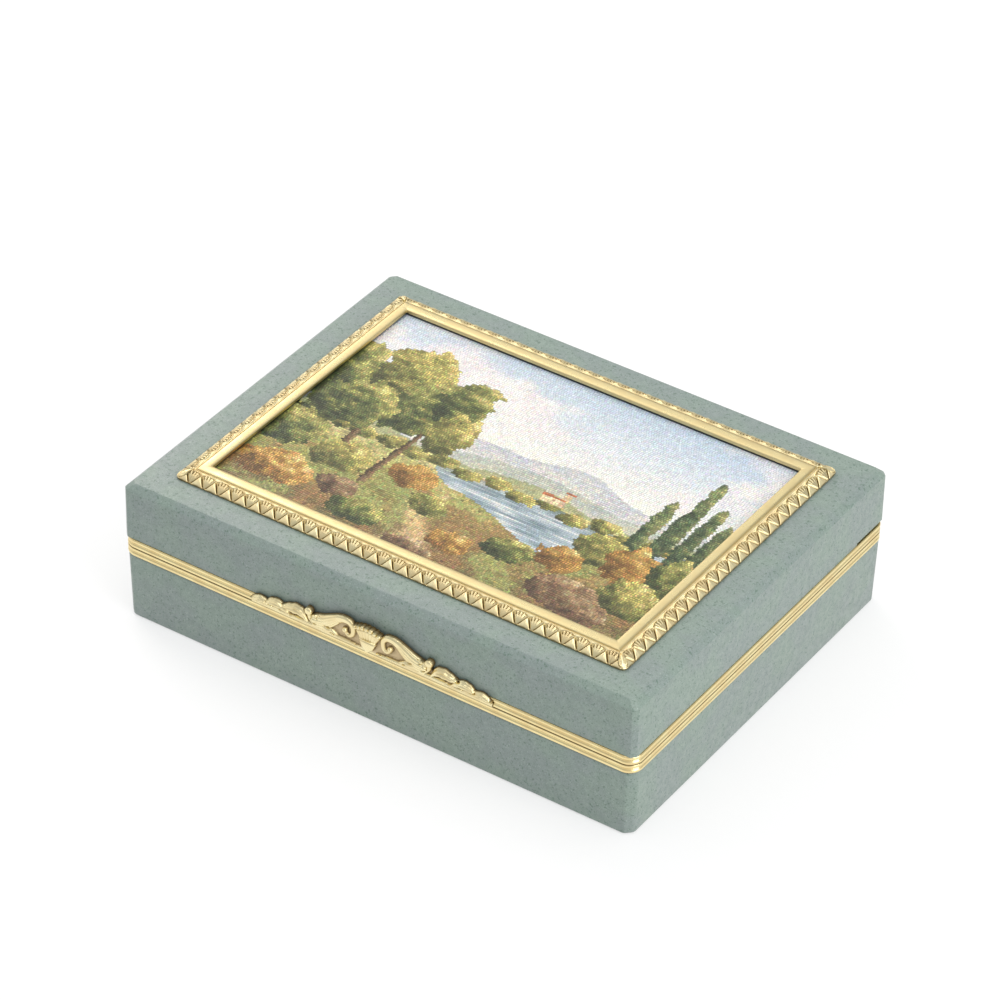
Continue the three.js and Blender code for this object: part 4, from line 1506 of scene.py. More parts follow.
    def build(self) -> None:
        """Makes the four strips and the four corners."""
        finish = GoldFinish("chased_leaf_gold", linear(255, 240, 190), linear(250, 224, 170), roughness=0.3)
        rows = row_tree()
        strip, corner = self.strip_skin(), self.corner_piece()
        sizes = [(self.half_x, self.half_y), (self.half_y, self.half_x)]
        for quarter, name in enumerate(("front", "right", "back", "left")):
            (half, reach), count = sizes[quarter % 2], self.motifs[quarter % 2]
            pitch = 2 * (half - self.corner) / count
            seed = strip.moved(Matrix.Scale(pitch / self.pitch, 4, (1, 0, 0))).mesh(name)
            mesh = rows.grow(seed, {"Count": count, "Pitch": pitch * MM, "Material": finish.material()})
            turn_outwards(mesh, mend=True)
            turn = Matrix.Rotation(quarter * math.pi / 2, 4, "Z")
            mesh.transform(turn @ Matrix.Translation((0, -reach * MM, self.foot * MM)))
            smooth(mesh)
            settle(piece(f"border_{name}_leaves", mesh), Body.LID, "gold", f"border_{name}")
            at = turn @ Matrix.Translation((-half, -reach, self.foot))
            leaf = corner.moved(at).mesh("corner", outward=True)
            made = piece(f"border_corner_leaf_{quarter + 1}", leaf, finish)
            settle(made, Body.LID, "gold", f"border_{name}")


@dataclass
class MosaicFrame:
    """The plate under the leaf border, the fillet over the mosaic's edge, and their studs and nuts."""

    plan: Plan
    half_x: float = 39.5
    half_y: float = 29.1
    foot_inner: float = 2.55
    opening: float = 3.95
    plate_top: float = 24.45
    under: float = 25.1
    top: float = 25.7
    plate_inset: float = 0.12
    plate_radius: float = 0.95
    mitre_radius: float = 0.06
    step: float = 2.3
    groove: Pair = (2.36, 2.44)
    face: tuple = ((2.72, 0.022), (2.95, 0), (3.5, 0), (3.7, 0.02), (3.84, 0.055), (3.91, 0.1))
    rails: tuple = ((0, 2.2, 2.4, 3.95), (0, 2.15, 2.25, 4.12))
    plate_shade: float = 0.45
    steps: int = 5
    stud_radius: float = 0.6
    stud_edge: float = 0.1
    nut_radius: float = 1.5
    nut_bore: float = 0.75
    nut_thickness: float = 0.8
    nut_edge: float = 0.12
    slot: Row = (1.05, 0.22, 0.2, 0.25)
    ceiling: float = 20.2

    def section(self) -> list[Row]:
        """The frame's section: inset from its outer edge, height, corner radius and painted shade."""
        m, lid, (low, high) = self.mitre_radius, self.plan.lid_top, self.groove
        # Painted shade in the groove and on the walls below the fillet, and plate_shade on the plate's side.
        rows = [(self.step, 0.14, 0.1), (low - 0.02, 0.14, 0.1), (low, 0.2, 0.3), (high, 0.2, 0.3),
                (high + 0.03, 0.12, 0.1), (high + 0.1, 0.065, 0), *((*row, 0) for row in self.face),
                (self.opening, 0.17, 0.1)]
        return [
            *((self.plate_inset, z, self.plate_radius, self.plate_shade) for z in (lid, self.plate_top)),
            (self.step, self.plate_top, m, 1),
            *((inset, self.top - drop, m, dark) for inset, drop, dark in rows),
            (self.opening, self.under, m, 0.1),
            *((self.foot_inner, z, m, 1) for z in (self.under, lid)),
        ]

    def nut(self) -> Mesh:
        """A round nut with eased edges and two spanner slots, under the lid's ceiling."""
        e, r, b = self.nut_edge, self.nut_radius, self.nut_bore
        high, low = self.ceiling, self.ceiling - self.nut_thickness
        profile = [(b, high), (r, high), (r, low + e), (r - e, low), (b + e / 2, low), (b, low + e / 2)]
        place, half, side, depth = self.slot
        slots = [box_data((x - half, -side, low - 1), (x + half, side, low + depth)) for x in (-place, place)]
        return cut(lathe(profile, 40, True).mesh("nut", outward=True), slots)

    def build(self) -> None:
        """Makes the frame, its studs and its nuts."""
        tones = linear(229, 211, 158), linear(222, 200, 147)
        finish = GoldFinish("burnished_fillet_gold", *tones, roughness=0.26)
        section, loops = self.section(), []
        for inset, z, radius, _ in section:
            level = (self.half_x - inset, self.half_y - np.interp(inset, *self.rails), z, radius)
            loops.append(outline(level, Corner.ROUNDED, self.steps))
        ring = skin(loops, True, [row[3] for row in section])
        made = piece("mosaic_frame_fillet", ring.mesh("fillet", outward=True), finish)
        settle(made, Body.LID, "gold", "mosaic_bezel")
        low, high = self.ceiling - self.nut_thickness + 0.02, self.plan.lid_top
        r, e = self.stud_radius, self.stud_edge
        profile = [(0, low), (r - e, low), (r, low + e), (r, high), (0, high)]
        stud = lathe(profile, 32, False).mesh("stud", outward=True)
        x, y = extent("frame_nut_4")[0][:2] + self.nut_radius
        places = np.array([[a * x, b * y, 0] for b in (-1, 1) for a in (-1, 1)])
        points = MeshData(places, []).mesh("places")
        for name, mesh, nodes in [("frame_studs", stud, ["mosaic_bezel"]),
                                  ("frame_round_nuts", self.nut(), [f"frame_nut_{i + 1}" for i in range(4)])]:
            tree = spread_tree(mesh)
            grown = tree.grow(points.copy(), {"Material": finish.material()})
            smooth(grown)
            settle(piece(name, grown), Body.LID, "gold", *nodes)
            bpy.data.objects.remove(bpy.data.objects[f"{mesh.name}_source"])


def spread_tree(mesh: Mesh) -> GeometryTree:
    """A tree that puts a copy of a mesh at every vertex that goes in."""
    source = placed(f"{mesh.name}_source", mesh)
    source.hide_render = True
    tree = GeometryTree(f"spread_{mesh.name}", {"Material": "NodeSocketMaterial"})
    info = tree.node("GeometryNodeObjectInfo", {"transform_space": "ORIGINAL"}, {"Object": source})
    points = tree.node("GeometryNodeMeshToPoints", None, {0: tree.inputs["Geometry"]}).outputs[0]
    tree.finish(points, info.outputs["Geometry"])
    return tree


@dataclass
class Thumbpiece:
    """The cast and chased thumbpiece: a shell between open scrolls, knobs and running leaves.

    Places run across from its middle and up from the joint. The bow and the crest are the ground's depth and
    height at places across, and the boss is its half width at places up. Stems and leaves are routes with a
    half width at each point, and notches and balls are places with a size.
    """

    plan: Plan
    half_width: float = 21.25
    height: float = 5.45
    gap: float = 0.05
    cell: float = 0.075
    deepest: float = 1.5
    foot: float = 0.9
    foot_depth: float = 0.08
    ridge: Pair = (0.33, 0.185)
    threads: Pair = (0.62, 0.8)
    bow: tuple = ((0, 5, 8, 11, 15, 21.3), (0.62, 0.56, 0.45, 0.36, 0.28, 0.22))
    crest: tuple = ((0, 2, 2.5, 3.2, 5.3, 6.5, 8, 9.3, 10.2, 11.3, 12.5, 14.3, 15.6, 17.3, 18.6, 20.4, 21.3),
                    (4.3, 4.3, 4.3, 4.4, 4, 3.5, 3.1, 2.7, 2.5, 2, 2.2, 2.1, 1.6, 1.6, 1.25, 1.05, 0.8))
    shell_root: float = 0.6
    shell_reach: float = 4.85
    shell_angle: float = math.radians(32.5)
    shell_ribs: int = 7
    rib_rise: Pair = (0.04, 0.14)
    knob: tuple[float, float, float] = (0.36, 0.38, 0.42)
    ring: tuple[float, float, float] = (0.84, 0.12, 0.14)
    boss: tuple = ((1.05, 1.5, 2.2, 3.05), (0.4, 0.95, 1.3, 1.5))
    stems: tuple = (
        ((3.98, 3.1, 0.34), (3.8, 2.55, 0.3), (3.3, 2.25, 0.32), (2.8, 2.6, 0.36), (2.62, 3.4, 0.4),
         (2.8, 4.15, 0.46), (3.4, 4.68, 0.54), (4.3, 4.72, 0.6), (5.3, 4.35, 0.72), (6.0, 3.85, 0.88),
         (6.7, 3.35, 1.02), (7.6, 2.75, 1.12), (8.6, 2.42, 1.12), (9.25, 2.3, 1.0)),
        ((5.5, 1.4, 0.14), (6.5, 1.6, 0.42), (7.7, 1.6, 0.5), (8.9, 1.5, 0.38), (9.8, 1.3, 0.2)),
        ((10.55, 3.2, 0.5), (10.5, 2.5, 0.42), (10.2, 1.9, 0.34), (9.6, 1.4, 0.26), (8.6, 1.1, 0.15)),
        ((1.5, 1.08, 0.1), (3.0, 1.12, 0.2), (6.0, 1.15, 0.26), (9.0, 1.12, 0.26), (12.0, 1.05, 0.24),
         (16.0, 0.95, 0.2)),
    )
    leaves: tuple = (
        ((11.0, 1.35, 0.25), (11.6, 1.95, 0.6), (12.3, 2.42, 0.95), (13.3, 2.4, 1.0), (14.2, 2.25, 0.8),
         (15.0, 2.15, 0.5)),
        ((14.2, 1.05, 0.15), (15.0, 1.5, 0.5), (15.9, 1.85, 0.8), (16.8, 1.92, 0.88), (17.6, 1.75, 0.7),
         (18.15, 1.55, 0.4)),
        ((17.5, 0.95, 0.12), (18.2, 1.25, 0.4), (19.0, 1.45, 0.62), (19.8, 1.42, 0.68), (20.5, 1.2, 0.52),
         (21.0, 1.0, 0.26)),
    )
    notches: tuple = ((12.6, 1.45, 0.45), (14.0, 1.25, 0.4), (15.45, 2.2, 0.3), (16.95, 1.2, 0.36),
                      (18.05, 1.2, 0.26), (18.4, 1.5, 0.2), (19.5, 0.98, 0.26), (20.7, 1.0, 0.24),
                      (9.1, 2.75, 0.2), (9.6, 1.6, 0.34), (10.15, 2.15, 0.16), (8.7, 3.3, 0.12),
                      (7.2, 1.95, 0.5), (6.2, 1.3, 0.3))
    balls: tuple = ((3.98, 3.08, 0.42), (9.68, 2.2, 0.46), (9.3, 3.1, 0.28), (10.6, 3.38, 0.66),
                    (15.05, 2.25, 0.34), (18.1, 1.6, 0.28), (21.0, 1.1, 0.22))
    notch_depth: float = 0.45
    least: float = 0.1
    sheet: float = 0.36
    sheet_lift: Pair = (1.2, 2.6)
    pit_size: float = 0.2
    # Painted shade in the recesses, near and wide, and on the plate's walls.
    near_hollow: tuple[int, float] = (4, 0.3)
    wide_hollow: tuple[int, float] = (9, 0.5)
    wide_shade: float = 0.7
    edge_dark: float = 0.5
    edge_smoothing: int = 4

    def shell(self, u: Array, v: Array) -> Array:
        """The height over the ground of a scallop with knobbed ribs, and of the smooth boss at its foot.

        Args:
            u: Places across.
            v: Places up.

        Returns:
            Heights, and -1 outside them.
        """
        turn, reach = np.arctan2(u, v - self.shell_root), np.hypot(u, v - self.shell_root)
        share = np.clip(reach / self.shell_reach, 0, 1)
        place = (turn / (2 * self.shell_angle) + 0.5) * self.shell_ribs
        rib = np.sqrt(np.clip(1 - (2 * (place - np.floor(place)) - 1) ** 2, 0, 1))
        end = self.shell_reach - 0.3 * (1 - rib)
        (knob_place, knob_half, knob_rise), (ring_place, ring_half, ring_depth) = self.knob, self.ring
        knob = dome(reach - self.shell_reach + knob_place, knob_half, knob_rise) * rib
        ring = ring_depth * np.exp(-((reach - self.shell_reach + ring_place) / ring_half) ** 2)
        side = np.sqrt(np.clip(1 - (turn / self.shell_angle) ** 4, 0, 1))
        ribs = (self.rib_rise[0] + self.rib_rise[1] * share ** 2) * rib
        fan = 0.1 + 0.32 * np.sin(share * math.pi * 0.8) * side + ribs + (knob - ring)
        fan = np.where((np.abs(turn) < self.shell_angle) & (reach < end) & (v > 2), fan, -1)
        half = np.interp(v, *self.boss)
        lip = self.boss[0][-1] - 0.12 * u ** 2
        boss = 0.3 + dome(np.abs(u), half, 0.36) - 0.12 * np.exp(-((v - lip + 0.3) / 0.07) ** 2)
        return np.maximum(fan, np.where((np.abs(u) < half) & (v > self.boss[0][0]) & (v < lip), boss, -1))

    @staticmethod
    def stem(u: Array, v: Array, points: Route, leafy: bool = False) -> Array:
        """The height over the ground of a rounded, softly fluted stem or leaf.

        Args:
            u: Places across.
            v: Places up.
            points: The route, with the half width at each point.
            leafy: Whether its edge is lobed and its flutes are deeper.

        Returns:
            Heights, and -1 outside it.
        """
        rows = np.array(points)
        distance, share = along_route(u, v, spline(rows[:, :2]))
        lengths = lengths_along(rows[:, :2])
        half = np.interp(share * lengths[-1], lengths, rows[:, 2])
        half = half * (1 - 0.12 * leafy * np.abs(np.sin(share * math.pi * 3.5)) ** 3)
        cross = np.clip(distance / half, 0, 1)
        waves = np.abs(np.sin(cross * 2.2 * math.pi)) ** 2
        flute = (0.09 + 0.05 * leafy) * np.clip(half - 0.45, 0, 0.5) / 0.5 * waves
        rounded = 0.52 * half ** 0.3 * np.sqrt(1 - cross ** 2)
        if leafy:
            rounded = 0.72 * half ** 0.5 * (1 - cross ** 2)
        return np.where(distance < half, 0.06 + rounded - flute, -1)

    def depths(self, u: Array, v: Array) -> tuple[Array, Array]:
        """The whole relief.

        Args:
            u: Places across, from the middle.
            v: Places up, from the joint.

        Returns:
            Depths, and ones where the matted ground shows.
        """
        base = np.interp(u, *self.bow)
        pits = Noise(7).at(u, v, self.pit_size)
        ground = np.where((v < np.interp(u, *self.crest)) & (v > self.foot), base - 0.06 + 0.06 * pits, -1)
        parts = [self.shell(u, v), *(self.stem(u, v, points) for points in self.stems)]
        parts += [self.stem(u, v, points, True) for points in self.leaves]
        for x, y, radius in self.balls:
            ball = np.hypot(u - x, v - y)
            parts.append(np.where(ball < radius, 0.3 + dome(ball, radius, 0.55 * radius ** 0.4), -1))
        forms = np.max(parts, axis=0)
        forms = np.where(forms > 0, forms + base, -1)
        for x, y, size in self.notches:
            pit = np.exp(-((u - x) / size) ** 2 - ((v - y - 0.25 * (u - x)) / (0.4 * size)) ** 2)
            forms = np.where(forms > 0, np.maximum(forms - self.notch_depth * pit, self.least), -1)
        middle, half = self.ridge
        reeds = dome(v - middle, half, 0.1)
        for place in self.threads:
            reeds = reeds + dome(v - place, 0.07, 0.04)
        foot = np.where(v <= self.foot, self.foot_depth + reeds, -1)
        depth = np.minimum(np.maximum(np.maximum(ground, forms), foot), self.deepest)
        return depth, (ground >= depth).astype(float)

    def build(self) -> None:
        """Makes the thumbpiece, upright against the lid's front."""
        count = round(self.half_width / self.cell)
        right = np.linspace(0, self.half_width, count + 1)
        across = np.concatenate([-right[:0:-1], right])
        up = np.linspace(self.gap, self.height, round((self.height - self.gap) / self.cell) + 1)
        x, y = np.meshgrid(across, up)
        depths, matted = self.depths(np.abs(x), y)
        middle_x, middle_y = np.meshgrid((across[:-1] + across[1:]) / 2, (up[:-1] + up[1:]) / 2)
        inside = self.depths(np.abs(middle_x), middle_y)[0] > 0
        base = np.interp(np.abs(x), *self.bow)
        filled = np.where(depths > 0, depths, np.where(y > self.foot, base, self.foot_depth))
        # Painted shade: recesses darken by how far they lie below their neighbourhood, and edge_dark darkens
        # the plate's walls.
        near, wide = (occlusion(filled, *size) for size in (self.near_hollow, self.wide_hollow))
        shade_in_hollows = np.maximum(near, self.wide_shade * wide)
        values = {"cavity": np.clip(shade_in_hollows, 0, 1), "matted": matted}
        relief = Field(across, up, filled, values, inside, self.edge_smoothing, self.edge_dark)
        low, high = self.sheet_lift
        lift = np.clip((y - low) / (high - low), 0, 1)
        plate = relief.plate(np.maximum(base - self.sheet, 0) * lift ** 2 * (3 - 2 * lift))
        back = -self.plan.half_y - self.plan.rim_proud
        upright = Matrix.Translation((0, back, self.plan.joint)) @ Matrix.Rotation(math.pi / 2, 4, "X")
        tones = linear(252, 238, 188), linear(242, 220, 166)
        finish = GoldFinish("chased_thumbpiece_gold", *tones, roughness=0.22)
        mesh = plate.moved(upright).mesh("thumbpiece_relief", outward=True)
        settle(piece("thumbpiece_relief", mesh, finish), Body.LID, "gold", "thumbpiece")


class Region(Enum):
    """The kinds of ground in the mosaic's landscape, with how far the rows of blocks sway in each."""

    SKY = (0, 0.05)
    HILL = (1, 0.4)
    WATER = (2, 0.06)
    FIELD = (3, 0.7)
    LEAVES = (4, 0.6)
    STONE = (5, 0.8)

    def __init__(self, number: int, sway: float) -> None:
        """Keeps the number that stands for the kind in arrays, and its sway."""
        self.number = number
        self.sway = sway


class Tone(Enum):
    """The colour scales of trees, bushes and rocks, from shade to light."""

    DARK = scale((0.1, 60, 70, 48), (0.45, 104, 114, 66), (0.75, 160, 160, 94), (1, 208, 198, 128))
    OLIVE = scale((0.1, 82, 86, 54), (0.5, 140, 140, 80), (0.8, 192, 182, 108), (1, 226, 210, 140))
    GOLD = scale((0.1, 116, 88, 52), (0.45, 172, 134, 72), (0.75, 212, 176, 104), (1, 240, 218, 154))
    PINE = scale((0.1, 52, 66, 52), (0.5, 88, 106, 74), (0.85, 138, 148, 98), (1, 176, 174, 116))
    ROCK = scale((0.1, 82, 66, 52), (0.5, 130, 106, 80), (0.85, 172, 150, 114), (1, 204, 186, 148))


def toned(stops: Stops, share: Array) -> Array:
    """A colour scale read at shares."""
    places = [stop for stop, _ in stops]
    return np.stack([np.interp(share, places, [colour[i] for _, colour in stops]) for i in range(3)], axis=-1)


def over(below: Array, colour: Colour | Array, mask: Array) -> Array:
    """Lays a colour over another where a mask says."""
    return below + (colour - below) * np.asarray(mask, dtype=float)[..., None]


@dataclass
class Canvas:
    """Places in the mosaic, in millimetres and in shares, with the colours and kinds painted there so far."""

    x: Array
    y: Array
    across: Array
    up: Array
    colour: Array
    region: Array

    def lay(self, colour: Colour | Array, mask: Array, kind: Region | None = None) -> None:
        """Lays a colour where a mask says, and notes its kind."""
        self.colour = over(self.colour, colour, mask)
        if kind is not None:
            self.region[mask] = kind.number


@dataclass
class Landscape:
    """A generic valley: hills beyond a lake, round trees on the left, cypresses on the right.

    Places and half sizes are shares: across from -1 to 1, and up from 0 to 1.
    """

    half_x: float
    half_y: float
    seed: int = 11
    trunks: tuple = (((-0.66, 0.24), (-0.7, 0.62), 0.016), ((-0.46, 0.22), (-0.42, 0.6), 0.014))
    crowns: tuple = ((-0.86, 0.56, 0.17, 0.15), (-0.7, 0.74, 0.17, 0.15), (-0.54, 0.62, 0.16, 0.15),
                     (-0.4, 0.7, 0.12, 0.12), (-0.34, 0.56, 0.11, 0.1), (-0.74, 0.54, 0.13, 0.12),
                     (-0.95, 0.7, 0.1, 0.12))
    cypresses: tuple = ((0.68, 0.55, 0.17), (0.78, 0.61, 0.25), (0.87, 0.57, 0.21), (0.95, 0.52, 0.17))
    bushes: tuple = (
        (-0.9, 0.33, 0.14, 0.09, Tone.DARK), (-0.62, 0.29, 0.13, 0.07, Tone.OLIVE),
        (-0.3, 0.33, 0.1, 0.055, Tone.GOLD), (0.6, 0.34, 0.12, 0.075, Tone.OLIVE),
        (0.78, 0.33, 0.13, 0.09, Tone.GOLD), (0.94, 0.34, 0.1, 0.1, Tone.DARK),
        (0.5, 0.25, 0.11, 0.06, Tone.GOLD), (-0.14, 0.24, 0.09, 0.045, Tone.OLIVE),
        (0.3, 0.2, 0.12, 0.05, Tone.DARK), (0.08, 0.13, 0.1, 0.05, Tone.GOLD),
        (0.86, 0.2, 0.14, 0.08, Tone.OLIVE), (-0.8, 0.15, 0.18, 0.075, Tone.GOLD),
        (-0.36, 0.1, 0.15, 0.05, Tone.DARK),
    )
    far_bushes: int = 14
    rocks: tuple = ((-0.52, 0.17, 0.1, 0.045), (0.62, 0.12, 0.16, 0.075), (0.74, 0.08, 0.12, 0.06),
                    (-0.05, 0.05, 0.12, 0.035))
    buildings: tuple = (
        (0.2, 0.29, 0.445, 0.475, (222, 204, 168)), (0.285, 0.315, 0.445, 0.515, (206, 186, 150)),
        (0.19, 0.3, 0.475, 0.487, (184, 112, 78)), (0.28, 0.32, 0.515, 0.524, (170, 100, 70)),
    )

    def __post_init__(self) -> None:
        """Makes the noise that breaks up every tone."""
        self.noise = Noise(self.seed)

    def sky(self, to: Canvas) -> None:
        """Blue above, cream at the horizon, with soft clouds."""
        stops = scale((0.45, 238, 233, 214), (0.6, 234, 235, 230), (0.78, 214, 223, 231), (1, 184, 204, 224))
        to.colour = toned(stops, to.up + 0.05 * to.across)
        bank = np.clip((self.noise.at(to.x * 0.55, to.y, 9, 4) - 0.5) / 0.12, 0, 1)
        bank = bank * np.clip((to.up - 0.5) / 0.12, 0, 1) * np.clip((1.1 - to.up) / 0.2, 0, 1)
        share = self.noise.at(to.x, to.y, 4, 3) * 1.4 - 0.2
        to.lay(toned(scale((0, 226, 220, 226), (1, 247, 244, 238)), share), 0.8 * bank)

    def hills(self, to: Canvas) -> None:
        """Three ranges of hills, greener as they come nearer."""
        across, up = to.across, to.up
        far = 0.555 + 0.075 * np.exp(-((across - 0.28) / 0.22) ** 2)
        far = far + 0.04 * np.exp(-((across + 0.2) / 0.3) ** 2)
        ranges = [
            (far, (186, 195, 208), (216, 216, 210)),
            (0.515 + 0.03 * np.sin(across * 5 + 1.2) + 0.03 * across, (172, 184, 186), (208, 208, 182)),
            (0.475 + 0.022 * np.sin(across * 7.5 + 0.5), (148, 160, 128), (192, 189, 138)),
        ]
        for line, dark, light in ranges:
            crest = line + 0.02 * (self.noise.at(to.x, line * 0, 3, 3) - 0.5)
            share = self.noise.at(to.x, to.y * 2.5, 2.6, 3) * 0.8 + np.clip((crest - up) / 0.08, 0, 1) * 0.3
            tones = toned(scale((0.2, *dark), (0.9, *light)), share)
            to.lay(tones, (up < crest) & (to.region == Region.SKY.number))
        to.region[(up < 0.6) & (up < far)] = Region.HILL.number

    def lake(self, to: Canvas) -> None:
        """A lake in streaks, with its banks' reflections."""
        across, up = to.across, to.up
        far = 0.435 + 0.012 * np.sin(across * 9)
        near = 0.3 - 0.09 * across + 0.035 * np.sin(across * 6 + 2)
        left = -0.28 + 0.3 * np.clip((0.44 - up) / 0.14, 0, 1) ** 2
        right = 0.98 - 0.5 * np.clip((0.4 - up) / 0.12, 0, 1) ** 2
        streak = self.noise.at(to.x * 0.25, to.y * 2.4, 1.3, 3)
        water = toned(scale((0.25, 128, 148, 158), (0.5, 170, 188, 200), (0.75, 214, 220, 220)), streak)
        water = over(water, linear(104, 118, 92), np.clip((up - far + 0.035) / 0.03, 0, 1) * 0.7)
        to.lay(water, (up < far) & (up > near) & (across > left) & (across < right), Region.WATER)

    def meadow(self, to: Canvas) -> None:
        """The near ground: bright meadow behind, brown and dark green in front, with a pale path."""
        across, up = to.across, to.up
        rows = self.noise.at(to.x * 0.6 + to.y * 0.5, to.y * 1.6, 2.4, 4)
        stops = scale((0.0, 112, 102, 70), (0.13, 146, 130, 84), (0.24, 148, 150, 92),
                      (0.34, 178, 174, 110), (0.44, 196, 190, 138))
        green = toned(stops, up + 0.14 * (rows - 0.5))
        patch = self.noise.at(to.x, to.y * 1.5, 5, 3)
        green = over(green, linear(158, 124, 84), 0.6 * np.clip((patch - 0.56) / 0.08, 0, 1) * (up < 0.3))
        green = over(green, linear(158, 168, 104), 0.6 * np.clip((0.42 - patch) / 0.08, 0, 1))
        centre = -0.1 + 0.5 * (0.32 - up) * np.sin(up * 17) - 0.4 * (0.3 - up)
        path = np.exp(-((across - centre) / (0.02 + 0.16 * np.clip(0.3 - up, 0, 1))) ** 2) * (up < 0.31)
        green = over(green, linear(212, 190, 142), 0.75 * np.clip(path * 1.5, 0, 1))
        to.lay(green, (up < 0.445) & (to.region != Region.WATER.number), Region.FIELD)

    def mound(self, to: Canvas, place: Sequence[float], tone: Tone, rough: float = 0.35) -> None:
        """Lays one rounded mass, lit from the upper right: a crown, a bush, a cypress or a rock.

        Args:
            to: Where it is painted.
            place: Its middle and half sizes.
            tone: Its colours.
            rough: How broken its edge is.
        """
        middle_x, middle_y, half_x, half_y = place
        u, v = (to.across - middle_x) / half_x, (to.up - middle_y) / half_y
        edge = np.hypot(u, v) + rough * (self.noise.at(to.x + 31 * middle_x, to.y, 1.7, 2) - 0.5) * 1.6
        clumps = self.noise.at(to.x - 17 * middle_y, to.y * 1.25, 1.5, 3)
        light = 0.5 + 0.32 * (0.75 * u + v) + 0.95 * (clumps - 0.5)
        kind = Region.STONE if tone is Tone.ROCK else Region.LEAVES
        to.lay(toned(tone.value, np.clip(light, 0, 1)), edge < 1, kind)

    @staticmethod
    def trunk(to: Canvas, foot: Pair, top: Pair, half: float) -> None:
        """Lays a trunk between two places.

        Args:
            to: Where it is painted.
            foot: Its foot.
            top: Its top.
            half: Half its width.
        """
        share = np.clip((to.up - foot[1]) / (top[1] - foot[1]), 0, 1)
        aside = to.across - (foot[0] + (top[0] - foot[0]) * share ** 1.4)
        width = half * (1.35 - 0.7 * share)
        bark = toned(scale((-1, 62, 50, 38), (1, 146, 122, 88)), aside / width)
        to.lay(bark, (np.abs(aside) < width) & (to.up > foot[1]) & (to.up < top[1]))

    def farmstead(self, to: Canvas) -> None:
        """A small tiled farmhouse with a plain square tower, beyond the lake."""
        for low_x, high_x, low_y, high_y, tint in self.buildings:
            inside = (to.across > low_x) & (to.across < high_x) & (to.up > low_y) & (to.up < high_y)
            to.lay(linear(*tint), inside, Region.STONE)

    def paint(self, x: Array, y: Array) -> Canvas:
        """Paints the landscape.

        Args:
            x: Places across, in millimetres.
            y: Places up, in millimetres.

        Returns:
            The painted places.
        """
        region = np.full(np.shape(x), Region.SKY.number)
        to = Canvas(x, y, x / self.half_x, (y / self.half_y + 1) / 2, np.zeros((len(x), 3)), region)
        for layer in (self.sky, self.hills, self.lake, self.meadow):
            layer(to)
        for i in range(self.far_bushes):
            self.mound(to, (-0.9 + 0.13 * i, 0.43 + 0.012 * math.sin(3 * i), 0.07, 0.028), Tone.OLIVE, 0.5)
        self.farmstead(to)
        for foot, top, half in self.trunks:
            self.trunk(to, foot, top, half)
        for i, place in enumerate(self.crowns):
            self.mound(to, place, Tone.OLIVE if i % 3 == 1 else Tone.DARK)
        for i, (across, up, half) in enumerate(self.cypresses):
            self.mound(to, (across, up - 0.05, 0.036 + 0.004 * (i % 2), half), Tone.PINE, 0.3)
        for *place, tone in self.bushes:
            self.mound(to, place, tone)
        for place in self.rocks:
            self.mound(to, place, Tone.ROCK, 0.25)
        return to


